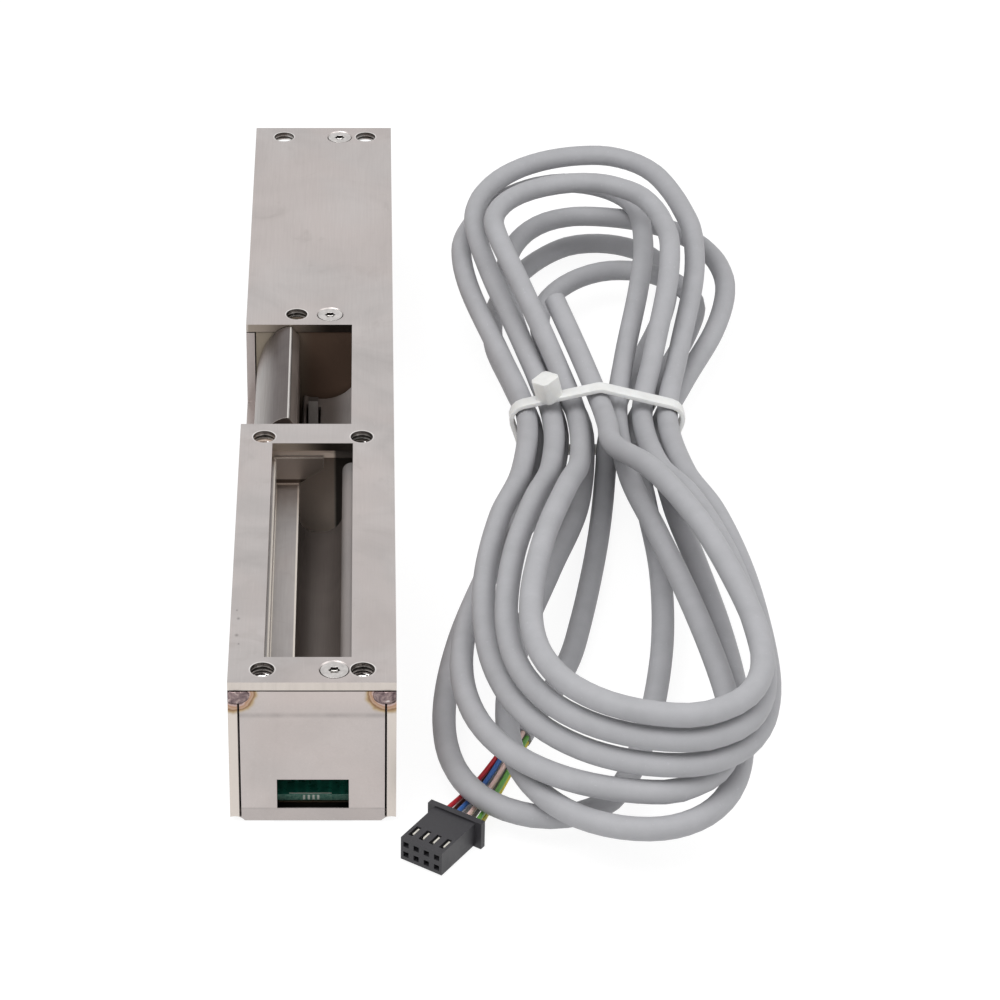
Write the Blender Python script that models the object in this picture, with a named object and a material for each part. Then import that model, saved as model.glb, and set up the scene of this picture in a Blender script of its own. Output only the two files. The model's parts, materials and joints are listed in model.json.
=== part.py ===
"""Electric door strike with its plug-in cable, modelled piece by piece.

X runs across the face plate, Y along it away from the cable port, and Z up from the back of the box.
The origin is the middle of the back. Sizes are in millimetres and become metres when a mesh is made.
"""

import math

import bmesh
import bpy
from mathutils import Matrix, Vector

MM = 0.001

# Overall sizes
WIDTH = 35.0
LENGTH = 250.0
HEIGHT = 36.0
PLATE = 2.0
SHEET = 2.0
LINER = 1.0
GAP = 0.3
OVERHANG = 14.0

# Housing
BEND = 0.8
SIDE_BEND = 1.5
SLIT = 0.4
SLIT_FOOT = 1.4
RELIEF_D = 5.0
RELIEF_DROP = 1.0
WELD = 3.0
NEAR_FLANGE = 7.0
PORT_WIDTH = 15.1
PORT_FLOOR = 3.65
PORT_HEIGHT = 7.45
TAB_WIDTH = 14.4
TAB_LEFT = 10.5
TAB_SETBACK = 1.0

# Openings in the face plate, from its left and near edges
WINDOW_LEFT = 7.4
WINDOW_WIDTH = 18.25
WINDOW_NEAR = 9.2
WINDOW_LENGTH = 84.6
BRIDGE = 8.4
OPENING_DEPTH = 25.25
OPENING_LENGTH = 45.3

# Fixing holes and plate screws: places across from the left edge, rows along from the nearest edge
HOLE_D = 5.0
TAPPED_D = 4.2
NEAR_ROW = 4.7
NEAR_HOLES = (7.15, 28.0)
NEAR_SCREW = 22.1
MID_ROW = 2.8
MID_HOLES = (5.5, 27.65)
UPPER_ROW = 5.0
UPPER_HOLE = 12.0
UPPER_SCREW = 20.0
FAR_ROW = 5.1
FAR_HOLES = (7.3, 28.4)
FAR_SCREW = 21.7
SCREW_D = 3.0
SCREW_LENGTH = 6.0
HEAD_D = 6.0
HEAD_SINK = 0.1
SOCKET_R = 1.35
SOCKET_DEPTH = 0.9

# Keeper, its pin and its spring
NOTCH_FLOOR = 14.5
PIVOT_RISE = 2.8
BARREL_R = 2.5
KEEPER_SIDE = 2.2
KEEPER_THROAT = 12.7
LIP_X = 10.8
LIP_DROP = 0.4
LIP_CHAMFER = 2.6
RAMP_FOOT = 2.3
KEEPER_NEAR_GAP = 3.4
KEEPER_PIN_D = 3.0
TAIL_LENGTH = 8.5
TAIL_THICK = 3.0
TAIL_WIDTH = 8.0
TAIL_FROM_FAR = 1.5
SPRING_RECESS = 12.0
SPRING_RECESS_R = 3.3
SPRING_FROM_NEAR = 10.0
KEEPER_WIRE = 0.7

# Brackets inside the box
WEB = 1.7
UPPER_FLANGE = 9.5
LEAD_WAY = 6.0
LEAD_WAY_HEIGHT = 4.2
PRESS = 0.1

# Latch pocket and its sensing lever
LATCH_FLOOR = 15.6
LATCH_R = 9.0
LATCH_AXIS = 18.1
LINER_FLANGE = 3.2
LATCH_SLOT_WIDTH = 3.4
LATCH_SLOT_X = 16.0
FINGER_WIDTH = 2.4
FINGER_FROM_FAR = 6.0
FINGER_TOP = 19.5
FINGER_NOSE = 2.0
FINGER_RAMP = 7.0
FINGER_RUN = 9.0
FINGER_SWING = 2.0
ARM_Z = 11.0
ARM_THICK = 2.0
ARM_LENGTH = 14.5
LATCH_PIN_D = 1.6
EAR_TOP = 13.2
EAR_LENGTH = 8.0

# Bolt window: trough and sensing lever
BOLT_FLOOR = 13.5
BOLT_LEFT = 13.3
BOLT_LEFT_R = 4.0
BOLT_RIGHT_R = 5.0
BOLT_RIGHT = 23.25
BOLT_BEND = 2.2
BOLT_FLANGE_DROP = 1.4
BOLT_END_GAP = 2.2
LEDGE_DEPTH = 10.0
LEDGE_LEFT = 8.2
LEDGE_RIGHT = 13.45
LEDGE_LIP = 1.7
LEDGE_CURB = 6.5
LEDGE_ROOM = 3.2
FLAP = 1.2
FLAP_DROP = 3.0
FLAP_RIGHT = 19.0
FLAP_CHAMFER = 4.0
LEVER_PIN_X = 4.9
LEVER_PIN_DROP = 5.5
LEVER_PIN_D = 2.0
KNUCKLE_R = 1.9
KNUCKLE_LENGTH = 8.0
KNUCKLE_INSET = 9.0
LEVER_WIRE = 0.5
LEVER_CURLS = 7

# Microswitches
SWITCH_LENGTH = 12.7
SWITCH_WIDTH = 5.7
LATCH_SWITCH_HEIGHT = 5.2
BOLT_SWITCH_HEIGHT = 6.5
BUTTON_LENGTH = 2.0
BUTTON_WIDTH = 1.5
BUTTON_DEPTH = 2.2
BUTTON_STROKE = 0.8
BUTTON_FROM_END = 2.5

# Locking slide and solenoid
SLIDE_WIDTH = 4.5
SLIDE_THICK = 2.5
SLIDE_Z = 9.0
SLIDE_LENGTH = 15.0
SLIDE_TAB = 2.0
SLIDE_TAB_WIDTH = 6.0
SLIDE_TAB_TOP = 19.0
SLIDE_CROSS = 4.0
SLIDE_TRAVEL = 5.0
GUIDE_CHEEK = 1.2
GUIDE_LIP = 2.0
COIL_Z = 15.0
COIL_R = 10.2
COIL_LENGTH = 33.0
COIL_SETBACK = 20.4
FRAME = 1.5
FRAME_SIDE = 11.0
FRAME_TOP = 27.0
BOBBIN_BORE_R = 4.3
BOBBIN_WALL = 1.0
BOBBIN_FLANGE = 1.2
PLUNGER_R = 4.0
PLUNGER_LENGTH = 28.0
PLUNGER_GROOVE = 1.0
ROD_R = 1.5
POLE_LENGTH = 7.0
SLIDE_SPRING_R = 2.6
SLIDE_WIRE = 0.7
SLIDE_CURLS = 6

# Circuit board, pin header and parts on the board
BOARD_SIDE = 4.5
BOARD_NEAR = 3.7
BOARD_LENGTH = 84.0
BOARD = 1.6
FOIL = 0.3
PITCH = 2.54
PIN_ROWS = 2
PIN_COLUMNS = 4
PIN_SIZE = 0.64
PIN_REACH = 6.4
PIN_TAIL = 1.6
PIN_FLOOR = 1.6
HEADER_NEAR = 16.0
HEADER = 2.5
HEADER_MARGIN = 1.3
CAPACITOR_R = 3.2
CAPACITOR_HEIGHT = 6.4
CAPACITOR_PLACE = (24.0, 60.0)
RELAY_SIZE = (10.0, 15.0, 6.2)
RELAY_PLACE = (8.0, 40.0)
LEAD_D = 1.2
LEAD_X = (12.6, 10.6)
LEAD_RISE = 1.6

# Plug on the cable end
PLUG_PLACE = (22.6, -141.1)
PLUG_TURN = -34.4
PLUG_WIDTH = 10.2
PLUG_HEIGHT = 5.6
PLUG_LENGTH = 14.0
PLUG_FLANGE = 1.5
PLUG_RIM = 1.6
PLUG_RIM_HEIGHT = 0.55
SOCKET_SIZE = 1.3
SOCKET_SLOT_WIDTH = 1.1
SOCKET_SLOT_NEAR = 1.6
SOCKET_SLOT_LENGTH = 3.4
TERMINAL = 0.7
TERMINAL_NEAR = 2.0
TERMINAL_REAR = 12.0

# Cable: a lead from the plug, loops stacked in two lobes and drawn in at a waist, and a cut end
CABLE_D = 5.1
CORE_D = 1.1
CORE_RING_R = 1.8
CORE_MID_STEP = 1.7
CORE_MID_Z = (0.85, 2.2)
CORE_DROP = 0.3
HANK = (67.0, 24.0)
LOOP_POINTS = 36
LOBE_DENSITY = 0.1
LOBE_START = 0.8
LOOP_GAP = 0.7
WAIST_GAP = 1.0
LAYER_GAP = 0.6
WAIST_SOFTNESS = 0.18
# Each loop from the lowest: its length, how far it leans to the right and how far it swells left and right
FAR_LOBES = (
    (98.4, 10.2, 46.3, 46.5),
    (73.9, 17.7, 37.7, 50.9),
    (90.2, 1.4, 45.0, 75.1),
    (99.3, 4.9, 65.8, 30.8),
    (102.3, 6.4, 66.7, 45.9),
    (76.3, 4.0, 60.3, 36.8),
)
NEAR_LOBES = (
    (158.0, -13.5, 92.0, 25.7),
    (168.3, 2.9, 81.7, 75.8),
    (163.4, 6.7, 105.2, 64.5),
    (162.0, 10.2, 95.1, 76.5),
    (161.2, 12.4, 100.3, 70.7),
    (160.6, 12.1, 97.2, 68.8),
)
# How late each near lobe swells, left and right
NEAR_POWERS = ((1.3, 1.3), (1.4, 1.8), (1.3, 1.8), (1.5, 1.6), (1.7, 1.6), (1.9, 1.5))
# Seats at the waist, in steps from its middle and in layers, of the loops' left sides and right sides
LEFT_SEATS = ((2.5, 0), (0.5, 0), (1.5, 0), (2.8, 1), (1.8, 1), (0.8, 1))
RIGHT_SEATS = ((0.5, 0), (1.5, 0), (2.5, 0), (0.8, 1), (2.8, 1), (1.8, 1), (0.0, 1.62))
LEAD_ROUTE = ((44.5, -98.7), (47.5, -91.2), (56.6, -68.5), (65.1, -21.6))
CUT_END_ROUTE = ((67.6, 23.0, 14.0), (63.0, 39.5, 18.6), (57.6, 54.0, 25.0))
CUT_END_LEAVES = 1
LEAST_BEND = 3.3
TIE_WIDTH = 3.6
TIE = 1.1
TIE_HEAD = (5.4, 5.4, 5.8)
TIE_HEAD_CHAMFER = 0.8
TIE_HEAD_TURN = 45.0
TIE_HEAD_X = -11.5
TIE_SET = 1.5
TIE_SHIFT = -0.6

# Colours as red, green, blue, roughness, metallic
STEEL = (0.50, 0.48, 0.47, 0.36, 1.0)
BRIGHT_STEEL = (0.62, 0.61, 0.60, 0.22, 1.0)
SPRING_STEEL = (0.42, 0.42, 0.43, 0.30, 1.0)
COPPER = (0.55, 0.24, 0.11, 0.35, 1.0)
GOLD = (0.72, 0.55, 0.28, 0.30, 1.0)
BLACK = (0.035, 0.035, 0.04, 0.55, 0.0)
WHITE_NYLON = (0.72, 0.72, 0.69, 0.50, 0.0)
GREEN_BOARD = (0.01, 0.08, 0.045, 0.45, 0.0)
FOIL_AMBER = (0.45, 0.24, 0.05, 0.40, 0.0)
GREY_JACKET = (0.38, 0.38, 0.41, 0.60, 0.0)
CREAM = (0.60, 0.55, 0.45, 0.50, 0.0)
CORE_COLOURS = {
    "brown": (0.16, 0.06, 0.03, 0.5, 0.0),
    "white": (0.80, 0.80, 0.78, 0.5, 0.0),
    "grey": (0.25, 0.25, 0.26, 0.5, 0.0),
    "yellow": (0.75, 0.58, 0.03, 0.5, 0.0),
    "red": (0.55, 0.02, 0.02, 0.5, 0.0),
    "blue": (0.03, 0.09, 0.45, 0.5, 0.0),
    "pink": (0.75, 0.32, 0.38, 0.5, 0.0),
    "green": (0.03, 0.25, 0.06, 0.5, 0.0),
}

# Sides and levels that follow from the sizes above
LEFT = -WIDTH / 2
RIGHT = WIDTH / 2
NEAR = -LENGTH / 2
FAR = LENGTH / 2
INNER_LEFT = LEFT + SHEET
INNER_RIGHT = RIGHT - SHEET
FITTED_LEFT = INNER_LEFT + GAP
FITTED_RIGHT = INNER_RIGHT - GAP
PLATE_UNDER = HEIGHT - PLATE
WALL_TOP = PLATE_UNDER - GAP
FLOOR = SHEET + GAP
BOX_FAR = FAR - OVERHANG
WINDOW_FAR = WINDOW_NEAR + WINDOW_LENGTH
OPENING_NEAR = WINDOW_FAR + BRIDGE
OPENING_FAR = OPENING_NEAR + OPENING_LENGTH
PIVOT_X = LEFT + KEEPER_SIDE + BARREL_R
PIVOT_Z = NOTCH_FLOOR + PIVOT_RISE
LEVER_PIN_Z = HEIGHT - LEVER_PIN_DROP
LEDGE_Z = HEIGHT - LEDGE_DEPTH
BOLT_LEFT_TOP = LEDGE_Z - LEDGE_ROOM
WAIST_STEP = CABLE_D + WAIST_GAP
WAIST_LAYER = CABLE_D + LAYER_GAP
LOOP_RISE = CABLE_D + LOOP_GAP
FLAP_TOP = HEIGHT - FLAP_DROP


def from_left(x):
    """X of a place measured from the plate's left edge."""
    return x + LEFT


def from_near(y):
    """Y of a place measured from the plate's near edge."""
    return y + NEAR


WINDOW_FAR_Y = from_near(WINDOW_FAR)
OPENING_NEAR_Y = from_near(OPENING_NEAR)
OPENING_FAR_Y = from_near(OPENING_FAR)
MID_WEB = (OPENING_NEAR_Y - GAP - WEB, OPENING_NEAR_Y - GAP)
BULKHEAD_WEB = (OPENING_FAR_Y + GAP, OPENING_FAR_Y + GAP + WEB)
KEEPER_SPAN = (OPENING_NEAR_Y + KEEPER_NEAR_GAP, OPENING_FAR_Y - GAP)
SLIDE_LEFT = PIVOT_X + TAIL_THICK / 2 + GAP
SLIDE_TIP = KEEPER_SPAN[1] - TAIL_FROM_FAR + 2 * GAP
SLIDE_REAR = SLIDE_TIP + SLIDE_LENGTH
BOARD_UNDER = FLOOR + FOIL + GAP
BOARD_TOP = BOARD_UNDER + BOARD
BOARD_LEFT = from_left(BOARD_SIDE)
BOARD_SPAN = (from_near(BOARD_NEAR), from_near(BOARD_NEAR) + BOARD_LENGTH)
LEVER_PIN_CENTRE_X = from_left(LEVER_PIN_X)
LEVER_SPAN = (from_near(WINDOW_NEAR) + WEB + 2 * GAP, WINDOW_FAR_Y - GAP)
TROUGH_SPAN = (from_near(WINDOW_NEAR) + GAP, WINDOW_FAR_Y - BOLT_END_GAP)
LATCH_ARM_X = from_left(LATCH_SLOT_X)
FINGER_FAR = OPENING_FAR_Y - FINGER_FROM_FAR
LATCH_PIN_Y = FINGER_FAR - ARM_LENGTH
LATCH_BUTTON_TOP = ARM_Z - ARM_THICK / 2 - GAP
BOLT_BUTTON_TOP = LEDGE_Z - LINER - GAP
COIL_NEAR = OPENING_FAR_Y + COIL_SETBACK
COIL_FAR = COIL_NEAR + COIL_LENGTH


def arc(centre, radius, start, stop, steps):
    """Points on a circle between two angles in degrees, both ends included."""
    angles = [math.radians(start + (stop - start) * i / steps) for i in range(steps + 1)]
    return [(centre[0] + radius * math.cos(a), centre[1] + radius * math.sin(a)) for a in angles]


def rectangle(x, y):
    return [(x[0], y[0]), (x[1], y[0]), (x[1], y[1]), (x[0], y[1])]


def folded(path, thickness):
    """Outline of a folded sheet: the path, and the same path moved over to its right by the thickness."""
    normals = []
    for (ax, ay), (bx, by) in zip(path, path[1:]):
        length = math.hypot(bx - ax, by - ay)
        normals.append(((by - ay) / length, (ax - bx) / length))
    moved = []
    for i, (x, y) in enumerate(path):
        before = normals[max(i - 1, 0)]
        after = normals[min(i, len(normals) - 1)]
        share = thickness / (1 + before[0] * after[0] + before[1] * after[1])
        moved.append((x + (before[0] + after[0]) * share, y + (before[1] + after[1]) * share))
    return path + moved[::-1]


class Shape:
    """A mesh under construction, made of closed solids given in millimetres."""

    def __init__(self):
        self.mesh = bmesh.new()

    def prism(self, outline, axis, span):
        """An outline in the plane square to the axis, drawn out along it. Y prisms take (x, z) outlines."""
        order = {"x": (2, 0, 1), "y": (0, 2, 1), "z": (0, 1, 2)}[axis]
        ends = []
        for level in span:
            points = [(u, v, level) for u, v in outline]
            ends.append([self.mesh.verts.new([p[i] * MM for i in order]) for p in points])
        self.mesh.faces.new(ends[0])
        self.mesh.faces.new(ends[1][::-1])
        for i in range(len(outline)):
            j = i - 1
            self.mesh.faces.new((ends[0][j], ends[0][i], ends[1][i], ends[1][j]))
        return self

    def box(self, x, y, z):
        return self.prism(rectangle(x, y), "z", z)

    def turned(self, profile, axis, centre, sides=24, ring=False):
        """A (radius, height) profile turned about an axis. A ring's profile closes on itself."""
        order = {"x": (2, 0, 1), "y": (0, 2, 1), "z": (0, 1, 2)}[axis]
        rings = []
        for radius, height in profile:
            circle = arc(centre, radius, 0, 360, sides)[:-1]
            points = [(u, v, height) for u, v in circle]
            rings.append([self.mesh.verts.new([p[i] * MM for i in order]) for p in points])
        pairs = list(zip(rings, rings[1:]))
        if ring:
            pairs.append((rings[-1], rings[0]))
        else:
            self.mesh.faces.new(rings[0])
            self.mesh.faces.new(rings[-1][::-1])
        for low, high in pairs:
            for i in range(sides):
                self.mesh.faces.new((low[i - 1], low[i], high[i], high[i - 1]))
        return self

    def cylinder(self, radius, axis, centre, span, sides=24):
        return self.turned([(radius, span[0]), (radius, span[1])], axis, centre, sides)

    def tube(self, inner, outer, axis, centre, span, sides=24):
        profile = [(inner, span[0]), (outer, span[0]), (outer, span[1]), (inner, span[1])]
        return self.turned(profile, axis, centre, sides, ring=True)

    def place(self, matrix):
        bmesh.ops.transform(self.mesh, matrix=matrix, verts=self.mesh.verts)
        return self

    def made(self, name, finish=None, origin=(0, 0, 0)):
        """The finished object, its origin at a place in millimetres."""
        bmesh.ops.recalc_face_normals(self.mesh, faces=self.mesh.faces)
        offset = Vector(origin) * MM
        bmesh.ops.translate(self.mesh, vec=-offset, verts=self.mesh.verts)
        mesh = bpy.data.meshes.new(name)
        self.mesh.to_mesh(mesh)
        self.mesh.free()
        mesh.shade_smooth()
        mesh.set_sharp_from_angle(angle=math.radians(30))
        thing = bpy.data.objects.new(name, mesh)
        thing.location = offset
        bpy.context.scene.collection.objects.link(thing)
        if finish:
            mesh.materials.append(material(name, finish))
        return thing


def material(name, finish):
    red, green, blue, roughness, metallic = finish
    made = bpy.data.materials.new(name)
    made.use_nodes = True
    made.diffuse_color = (red, green, blue, 1.0)
    shader = made.node_tree.nodes["Principled BSDF"]
    shader.inputs["Base Color"].default_value = (red, green, blue, 1.0)
    shader.inputs["Roughness"].default_value = roughness
    shader.inputs["Metallic"].default_value = metallic
    return made


def combine(target, shape, operation, label):
    """Cuts a shape out of an object, or joins it on."""
    tool = shape.made(f"{target.name}.{label}")
    tool.hide_render = True
    tool.display_type = "WIRE"
    step = target.modifiers.new(label, "BOOLEAN")
    step.operation = operation
    step.solver = "EXACT"
    step.object = tool
    return target


def cut(target, shape, label):
    return combine(target, shape, "DIFFERENCE", label)


def join(target, shape, label):
    return combine(target, shape, "UNION", label)


def wire(name, points, diameter, finish, resolution=2):
    """A round wire or cable along points in millimetres, with flat ends."""
    curve = bpy.data.curves.new(name, "CURVE")
    curve.dimensions = "3D"
    curve.bevel_depth = diameter / 2 * MM
    curve.bevel_resolution = resolution
    curve.use_fill_caps = True
    spline = curve.splines.new("POLY")
    spline.points.add(len(points) - 1)
    for point, place in zip(spline.points, points):
        point.co = (*(Vector(place) * MM), 1.0)
    curve.materials.append(material(name, finish))
    thing = bpy.data.objects.new(name, curve)
    bpy.context.scene.collection.objects.link(thing)
    return thing


def smooth_route(stations, spacing):
    """Points every so often along a smooth curve through the stations."""
    points = [Vector(s) for s in stations]
    points = [2 * points[0] - points[1]] + points + [2 * points[-1] - points[-2]]
    route = []
    for a, b, c, d in zip(points, points[1:], points[2:], points[3:]):
        steps = max(1, round((c - b).length / spacing))
        for i in range(steps):
            t = i / steps
            route.append(
                0.5 * (2 * b + (c - a) * t + (2 * a - 5 * b + 4 * c - d) * t**2 + (3 * b - a - 3 * c + d) * t**3)
            )
    route.append(points[-2])
    return route


def helix(centre, radius, axis_span, curls, points_per_curl, lead):
    """Curls about a line along Y, with a straight lead at each end."""
    count = round(curls * points_per_curl)
    points = []
    for i in range(count + 1):
        angle = 2 * math.pi * i / points_per_curl
        along = axis_span[0] + (axis_span[1] - axis_span[0]) * i / count
        points.append((centre[0] + radius * math.cos(angle), along, centre[1] + radius * math.sin(angle)))
    first = Vector(points[0]) - (Vector(points[1]) - Vector(points[0])).normalized() * lead
    last = Vector(points[-1]) + (Vector(points[-1]) - Vector(points[-2])).normalized() * lead
    return [first, *points, last]


def least_gap(points, diameter, apart):
    """Least clear distance between stretches of one tube that are some way apart along it."""
    route = [Vector(p) for p in points]
    travelled = [0.0]
    for a, b in zip(route, route[1:]):
        travelled.append(travelled[-1] + (b - a).length)
    least = math.inf
    for i, a in enumerate(route[:-1]):
        for j in range(i + 1, len(route) - 1):
            if travelled[j] - travelled[i + 1] < apart:
                continue
            least = min(least, segment_distance(a, route[i + 1], route[j], route[j + 1]))
    return least - diameter


def segment_distance(a, b, c, d):
    """Distance between two straight stretches."""
    u, v, w = b - a, d - c, a - c
    uu, uv, vv, uw, vw = u.dot(u), u.dot(v), v.dot(v), u.dot(w), v.dot(w)
    spread = uu * vv - uv * uv
    s = 0.5 if spread < 1e-9 else min(1.0, max(0.0, (uv * vw - vv * uw) / spread))
    t = min(1.0, max(0.0, (uv * s + vw) / vv))
    s = min(1.0, max(0.0, (uv * t - uw) / uu))
    return (a + u * s - c - v * t).length


def make_housing():
    """The folded box: slits beside the near wall, a notch for the keeper and a tab at the far end."""
    side = arc((LEFT + SIDE_BEND, SIDE_BEND), SIDE_BEND, 180, 270, 4)
    side += arc((RIGHT - SIDE_BEND, SIDE_BEND), SIDE_BEND, 270, 360, 4)
    outline = [*side, (RIGHT, WALL_TOP), (LEFT, WALL_TOP)]
    housing = Shape().prism(outline, "y", (NEAR, BOX_FAR)).made("housing", STEEL)

    flange_under = WALL_TOP - SHEET
    chamber = [
        (NEAR + SHEET, SHEET),
        (BOX_FAR - SHEET, SHEET),
        (BOX_FAR - SHEET, HEIGHT),
        (NEAR + SHEET + NEAR_FLANGE, HEIGHT),
        (NEAR + SHEET + NEAR_FLANGE, flange_under),
        (NEAR + SHEET, flange_under),
    ]
    cut(housing, Shape().prism(chamber, "x", (INNER_LEFT, INNER_RIGHT)), "chamber")

    past = 2 * SHEET
    bends = Shape()
    near_bend = arc((NEAR + BEND, BEND), BEND, 180, 270, 6)
    corner = [(NEAR + BEND, -past), (NEAR - past, -past), (NEAR - past, BEND)]
    bends.prism(near_bend + corner, "x", (LEFT - past, RIGHT + past))
    far_bend = arc((BOX_FAR - BEND, BEND), BEND, 0, -90, 6)
    corner = [(BOX_FAR - BEND, -past), (BOX_FAR + past, -past), (BOX_FAR + past, BEND)]
    bends.prism(far_bend + corner, "x", (LEFT - past, RIGHT + past))
    cut(housing, bends, "bends")

    slits = Shape()
    slit_top = WALL_TOP - WELD
    overlap = SLIT / 8
    for y in ((NEAR - past, NEAR + SHEET + overlap), (BOX_FAR - SHEET - overlap, BOX_FAR + past)):
        slits.box((INNER_LEFT - overlap, INNER_LEFT + SLIT), y, (SLIT_FOOT, slit_top))
        slits.box((INNER_RIGHT - SLIT, INNER_RIGHT + overlap), y, (SLIT_FOOT, slit_top))
    cut(housing, slits, "slits")
    reliefs = Shape()
    for x in (LEFT + SHEET / 2, RIGHT - SHEET / 2):
        for y in (NEAR, BOX_FAR):
            reliefs.cylinder(RELIEF_D / 2, "y", (x, -RELIEF_DROP), (y - past, y + past))
    cut(housing, reliefs, "reliefs")

    openings = Shape()
    openings.box(
        (-PORT_WIDTH / 2, PORT_WIDTH / 2),
        (NEAR - past, NEAR + past),
        (PORT_FLOOR, PORT_FLOOR + PORT_HEIGHT),
    )
    openings.box((LEFT - past, INNER_LEFT + GAP), (OPENING_NEAR_Y, OPENING_FAR_Y), (NOTCH_FLOOR, HEIGHT))
    near_row = from_near(NEAR_ROW)
    through = (flange_under - GAP, HEIGHT)
    for x in NEAR_HOLES:
        openings.cylinder(TAPPED_D / 2, "z", (from_left(x), near_row), through)
    openings.cylinder(SCREW_D / 2 + PRESS, "z", (from_left(NEAR_SCREW), near_row), through)
    cut(housing, openings, "openings")

    tab_x = (from_left(TAB_LEFT), from_left(TAB_LEFT + TAB_WIDTH))
    tab = Shape().box(tab_x, (BOX_FAR - SHEET / 2, FAR - TAB_SETBACK), (flange_under, WALL_TOP))
    join(housing, tab, "far_tab")
    far_hole = Shape()
    far_hole.cylinder(SCREW_D / 2 + PRESS, "z", (from_left(FAR_SCREW), FAR - FAR_ROW), through)
    cut(housing, far_hole, "far_hole")


def screw_places():
    """Name and place of each plate screw."""
    return (
        ("plate_screw_near", from_left(NEAR_SCREW), from_near(NEAR_ROW)),
        ("plate_screw_mid", from_left(UPPER_SCREW), OPENING_FAR_Y + UPPER_ROW),
        ("plate_screw_far", from_left(FAR_SCREW), FAR - FAR_ROW),
    )


def fixing_places():
    """Place of each fixing hole in the face plate."""
    places = [(from_left(x), from_near(NEAR_ROW)) for x in NEAR_HOLES]
    places += [(from_left(x), WINDOW_FAR_Y + MID_ROW) for x in MID_HOLES]
    places.append((from_left(UPPER_HOLE), OPENING_FAR_Y + UPPER_ROW))
    places += [(from_left(x), FAR - FAR_ROW) for x in FAR_HOLES]
    return places


def make_face_plate():
    inside = from_left(OPENING_DEPTH)
    outline = [
        (LEFT, NEAR),
        (RIGHT, NEAR),
        (RIGHT, FAR),
        (LEFT, FAR),
        (LEFT, OPENING_FAR_Y),
        (inside, OPENING_FAR_Y),
        (inside, OPENING_NEAR_Y),
        (LEFT, OPENING_NEAR_Y),
    ]
    plate = Shape().prism(outline, "z", (PLATE_UNDER, HEIGHT)).made("face_plate", STEEL)
    past = (PLATE_UNDER - PLATE, HEIGHT + PLATE)
    cuts = Shape()
    window_left = from_left(WINDOW_LEFT)
    cuts.box((window_left, window_left + WINDOW_WIDTH), (from_near(WINDOW_NEAR), WINDOW_FAR_Y), past)
    for place in fixing_places():
        cuts.cylinder(HOLE_D / 2, "z", place, past)
    cut(plate, cuts, "openings")

    sinks = Shape()
    neck = SCREW_D / 2 + GAP
    rim = HEAD_D / 2 + GAP
    profile = [
        (neck, PLATE_UNDER - PLATE),
        (neck, HEIGHT - (rim - neck)),
        (rim, HEIGHT),
        (rim, HEIGHT + PLATE),
    ]
    for _, x, y in screw_places():
        sinks.turned(profile, "z", (x, y))
    cut(plate, sinks, "countersinks")


def make_plate_screws():
    """Countersunk screws with six-lobe sockets."""
    top = HEIGHT - HEAD_SINK
    cone = (HEAD_D - SCREW_D) / 2
    profile = [
        (SCREW_D / 2, top - SCREW_LENGTH),
        (SCREW_D / 2, top - cone),
        (HEAD_D / 2, top),
    ]
    lobes = []
    for i in range(12):
        radius = SOCKET_R if i % 2 == 0 else SOCKET_R * 0.72
        lobes.append((radius * math.cos(math.radians(30 * i)), radius * math.sin(math.radians(30 * i))))
    for name, x, y in screw_places():
        screw = Shape().turned(profile, "z", (x, y)).made(name, BRIGHT_STEEL)
        socket = [(x + u, y + v) for u, v in lobes]
        cut(screw, Shape().prism(socket, "z", (top - SOCKET_DEPTH, HEIGHT + PLATE)), "socket")


def make_mid_bracket():
    """Wall between the bolt window and the latch opening, with a tapped flange under the plate."""
    web = Shape().box((FITTED_LEFT, FITTED_RIGHT), MID_WEB, (FLOOR, WALL_TOP))
    bracket = web.made("mid_bracket", STEEL)
    hole_y = WINDOW_FAR_Y + MID_ROW
    side_near = hole_y - HOLE_D / 2 - SHEET
    middle_near = WINDOW_FAR_Y + 2 * GAP
    inner_left = from_left(WINDOW_LEFT) - 2 * GAP
    inner_right = from_left(WINDOW_LEFT + WINDOW_WIDTH) + 2 * GAP
    join_y = (MID_WEB[0] + MID_WEB[1]) / 2
    flange = [
        (FITTED_LEFT, side_near),
        (inner_left, side_near),
        (inner_left, middle_near),
        (inner_right, middle_near),
        (inner_right, side_near),
        (FITTED_RIGHT, side_near),
        (FITTED_RIGHT, join_y),
        (FITTED_LEFT, join_y),
    ]
    join(bracket, Shape().prism(flange, "z", (WALL_TOP - SHEET, WALL_TOP)), "flange")
    holes = Shape()
    for x in MID_HOLES:
        holes.cylinder(TAPPED_D / 2, "z", (from_left(x), hole_y), (WALL_TOP - 2 * SHEET, HEIGHT))
    past = (MID_WEB[0] - WEB, MID_WEB[1] + WEB)
    holes.cylinder(KEEPER_PIN_D / 2 + PRESS, "y", (PIVOT_X, PIVOT_Z), past)
    holes.cylinder(LEVER_PIN_D / 2 + PRESS, "y", (LEVER_PIN_CENTRE_X, LEVER_PIN_Z), past)
    holes.box((FITTED_RIGHT - LEAD_WAY, FITTED_RIGHT - SHEET), past, (-SHEET, FLOOR + LEAD_WAY_HEIGHT))
    cut(bracket, holes, "holes")


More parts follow.
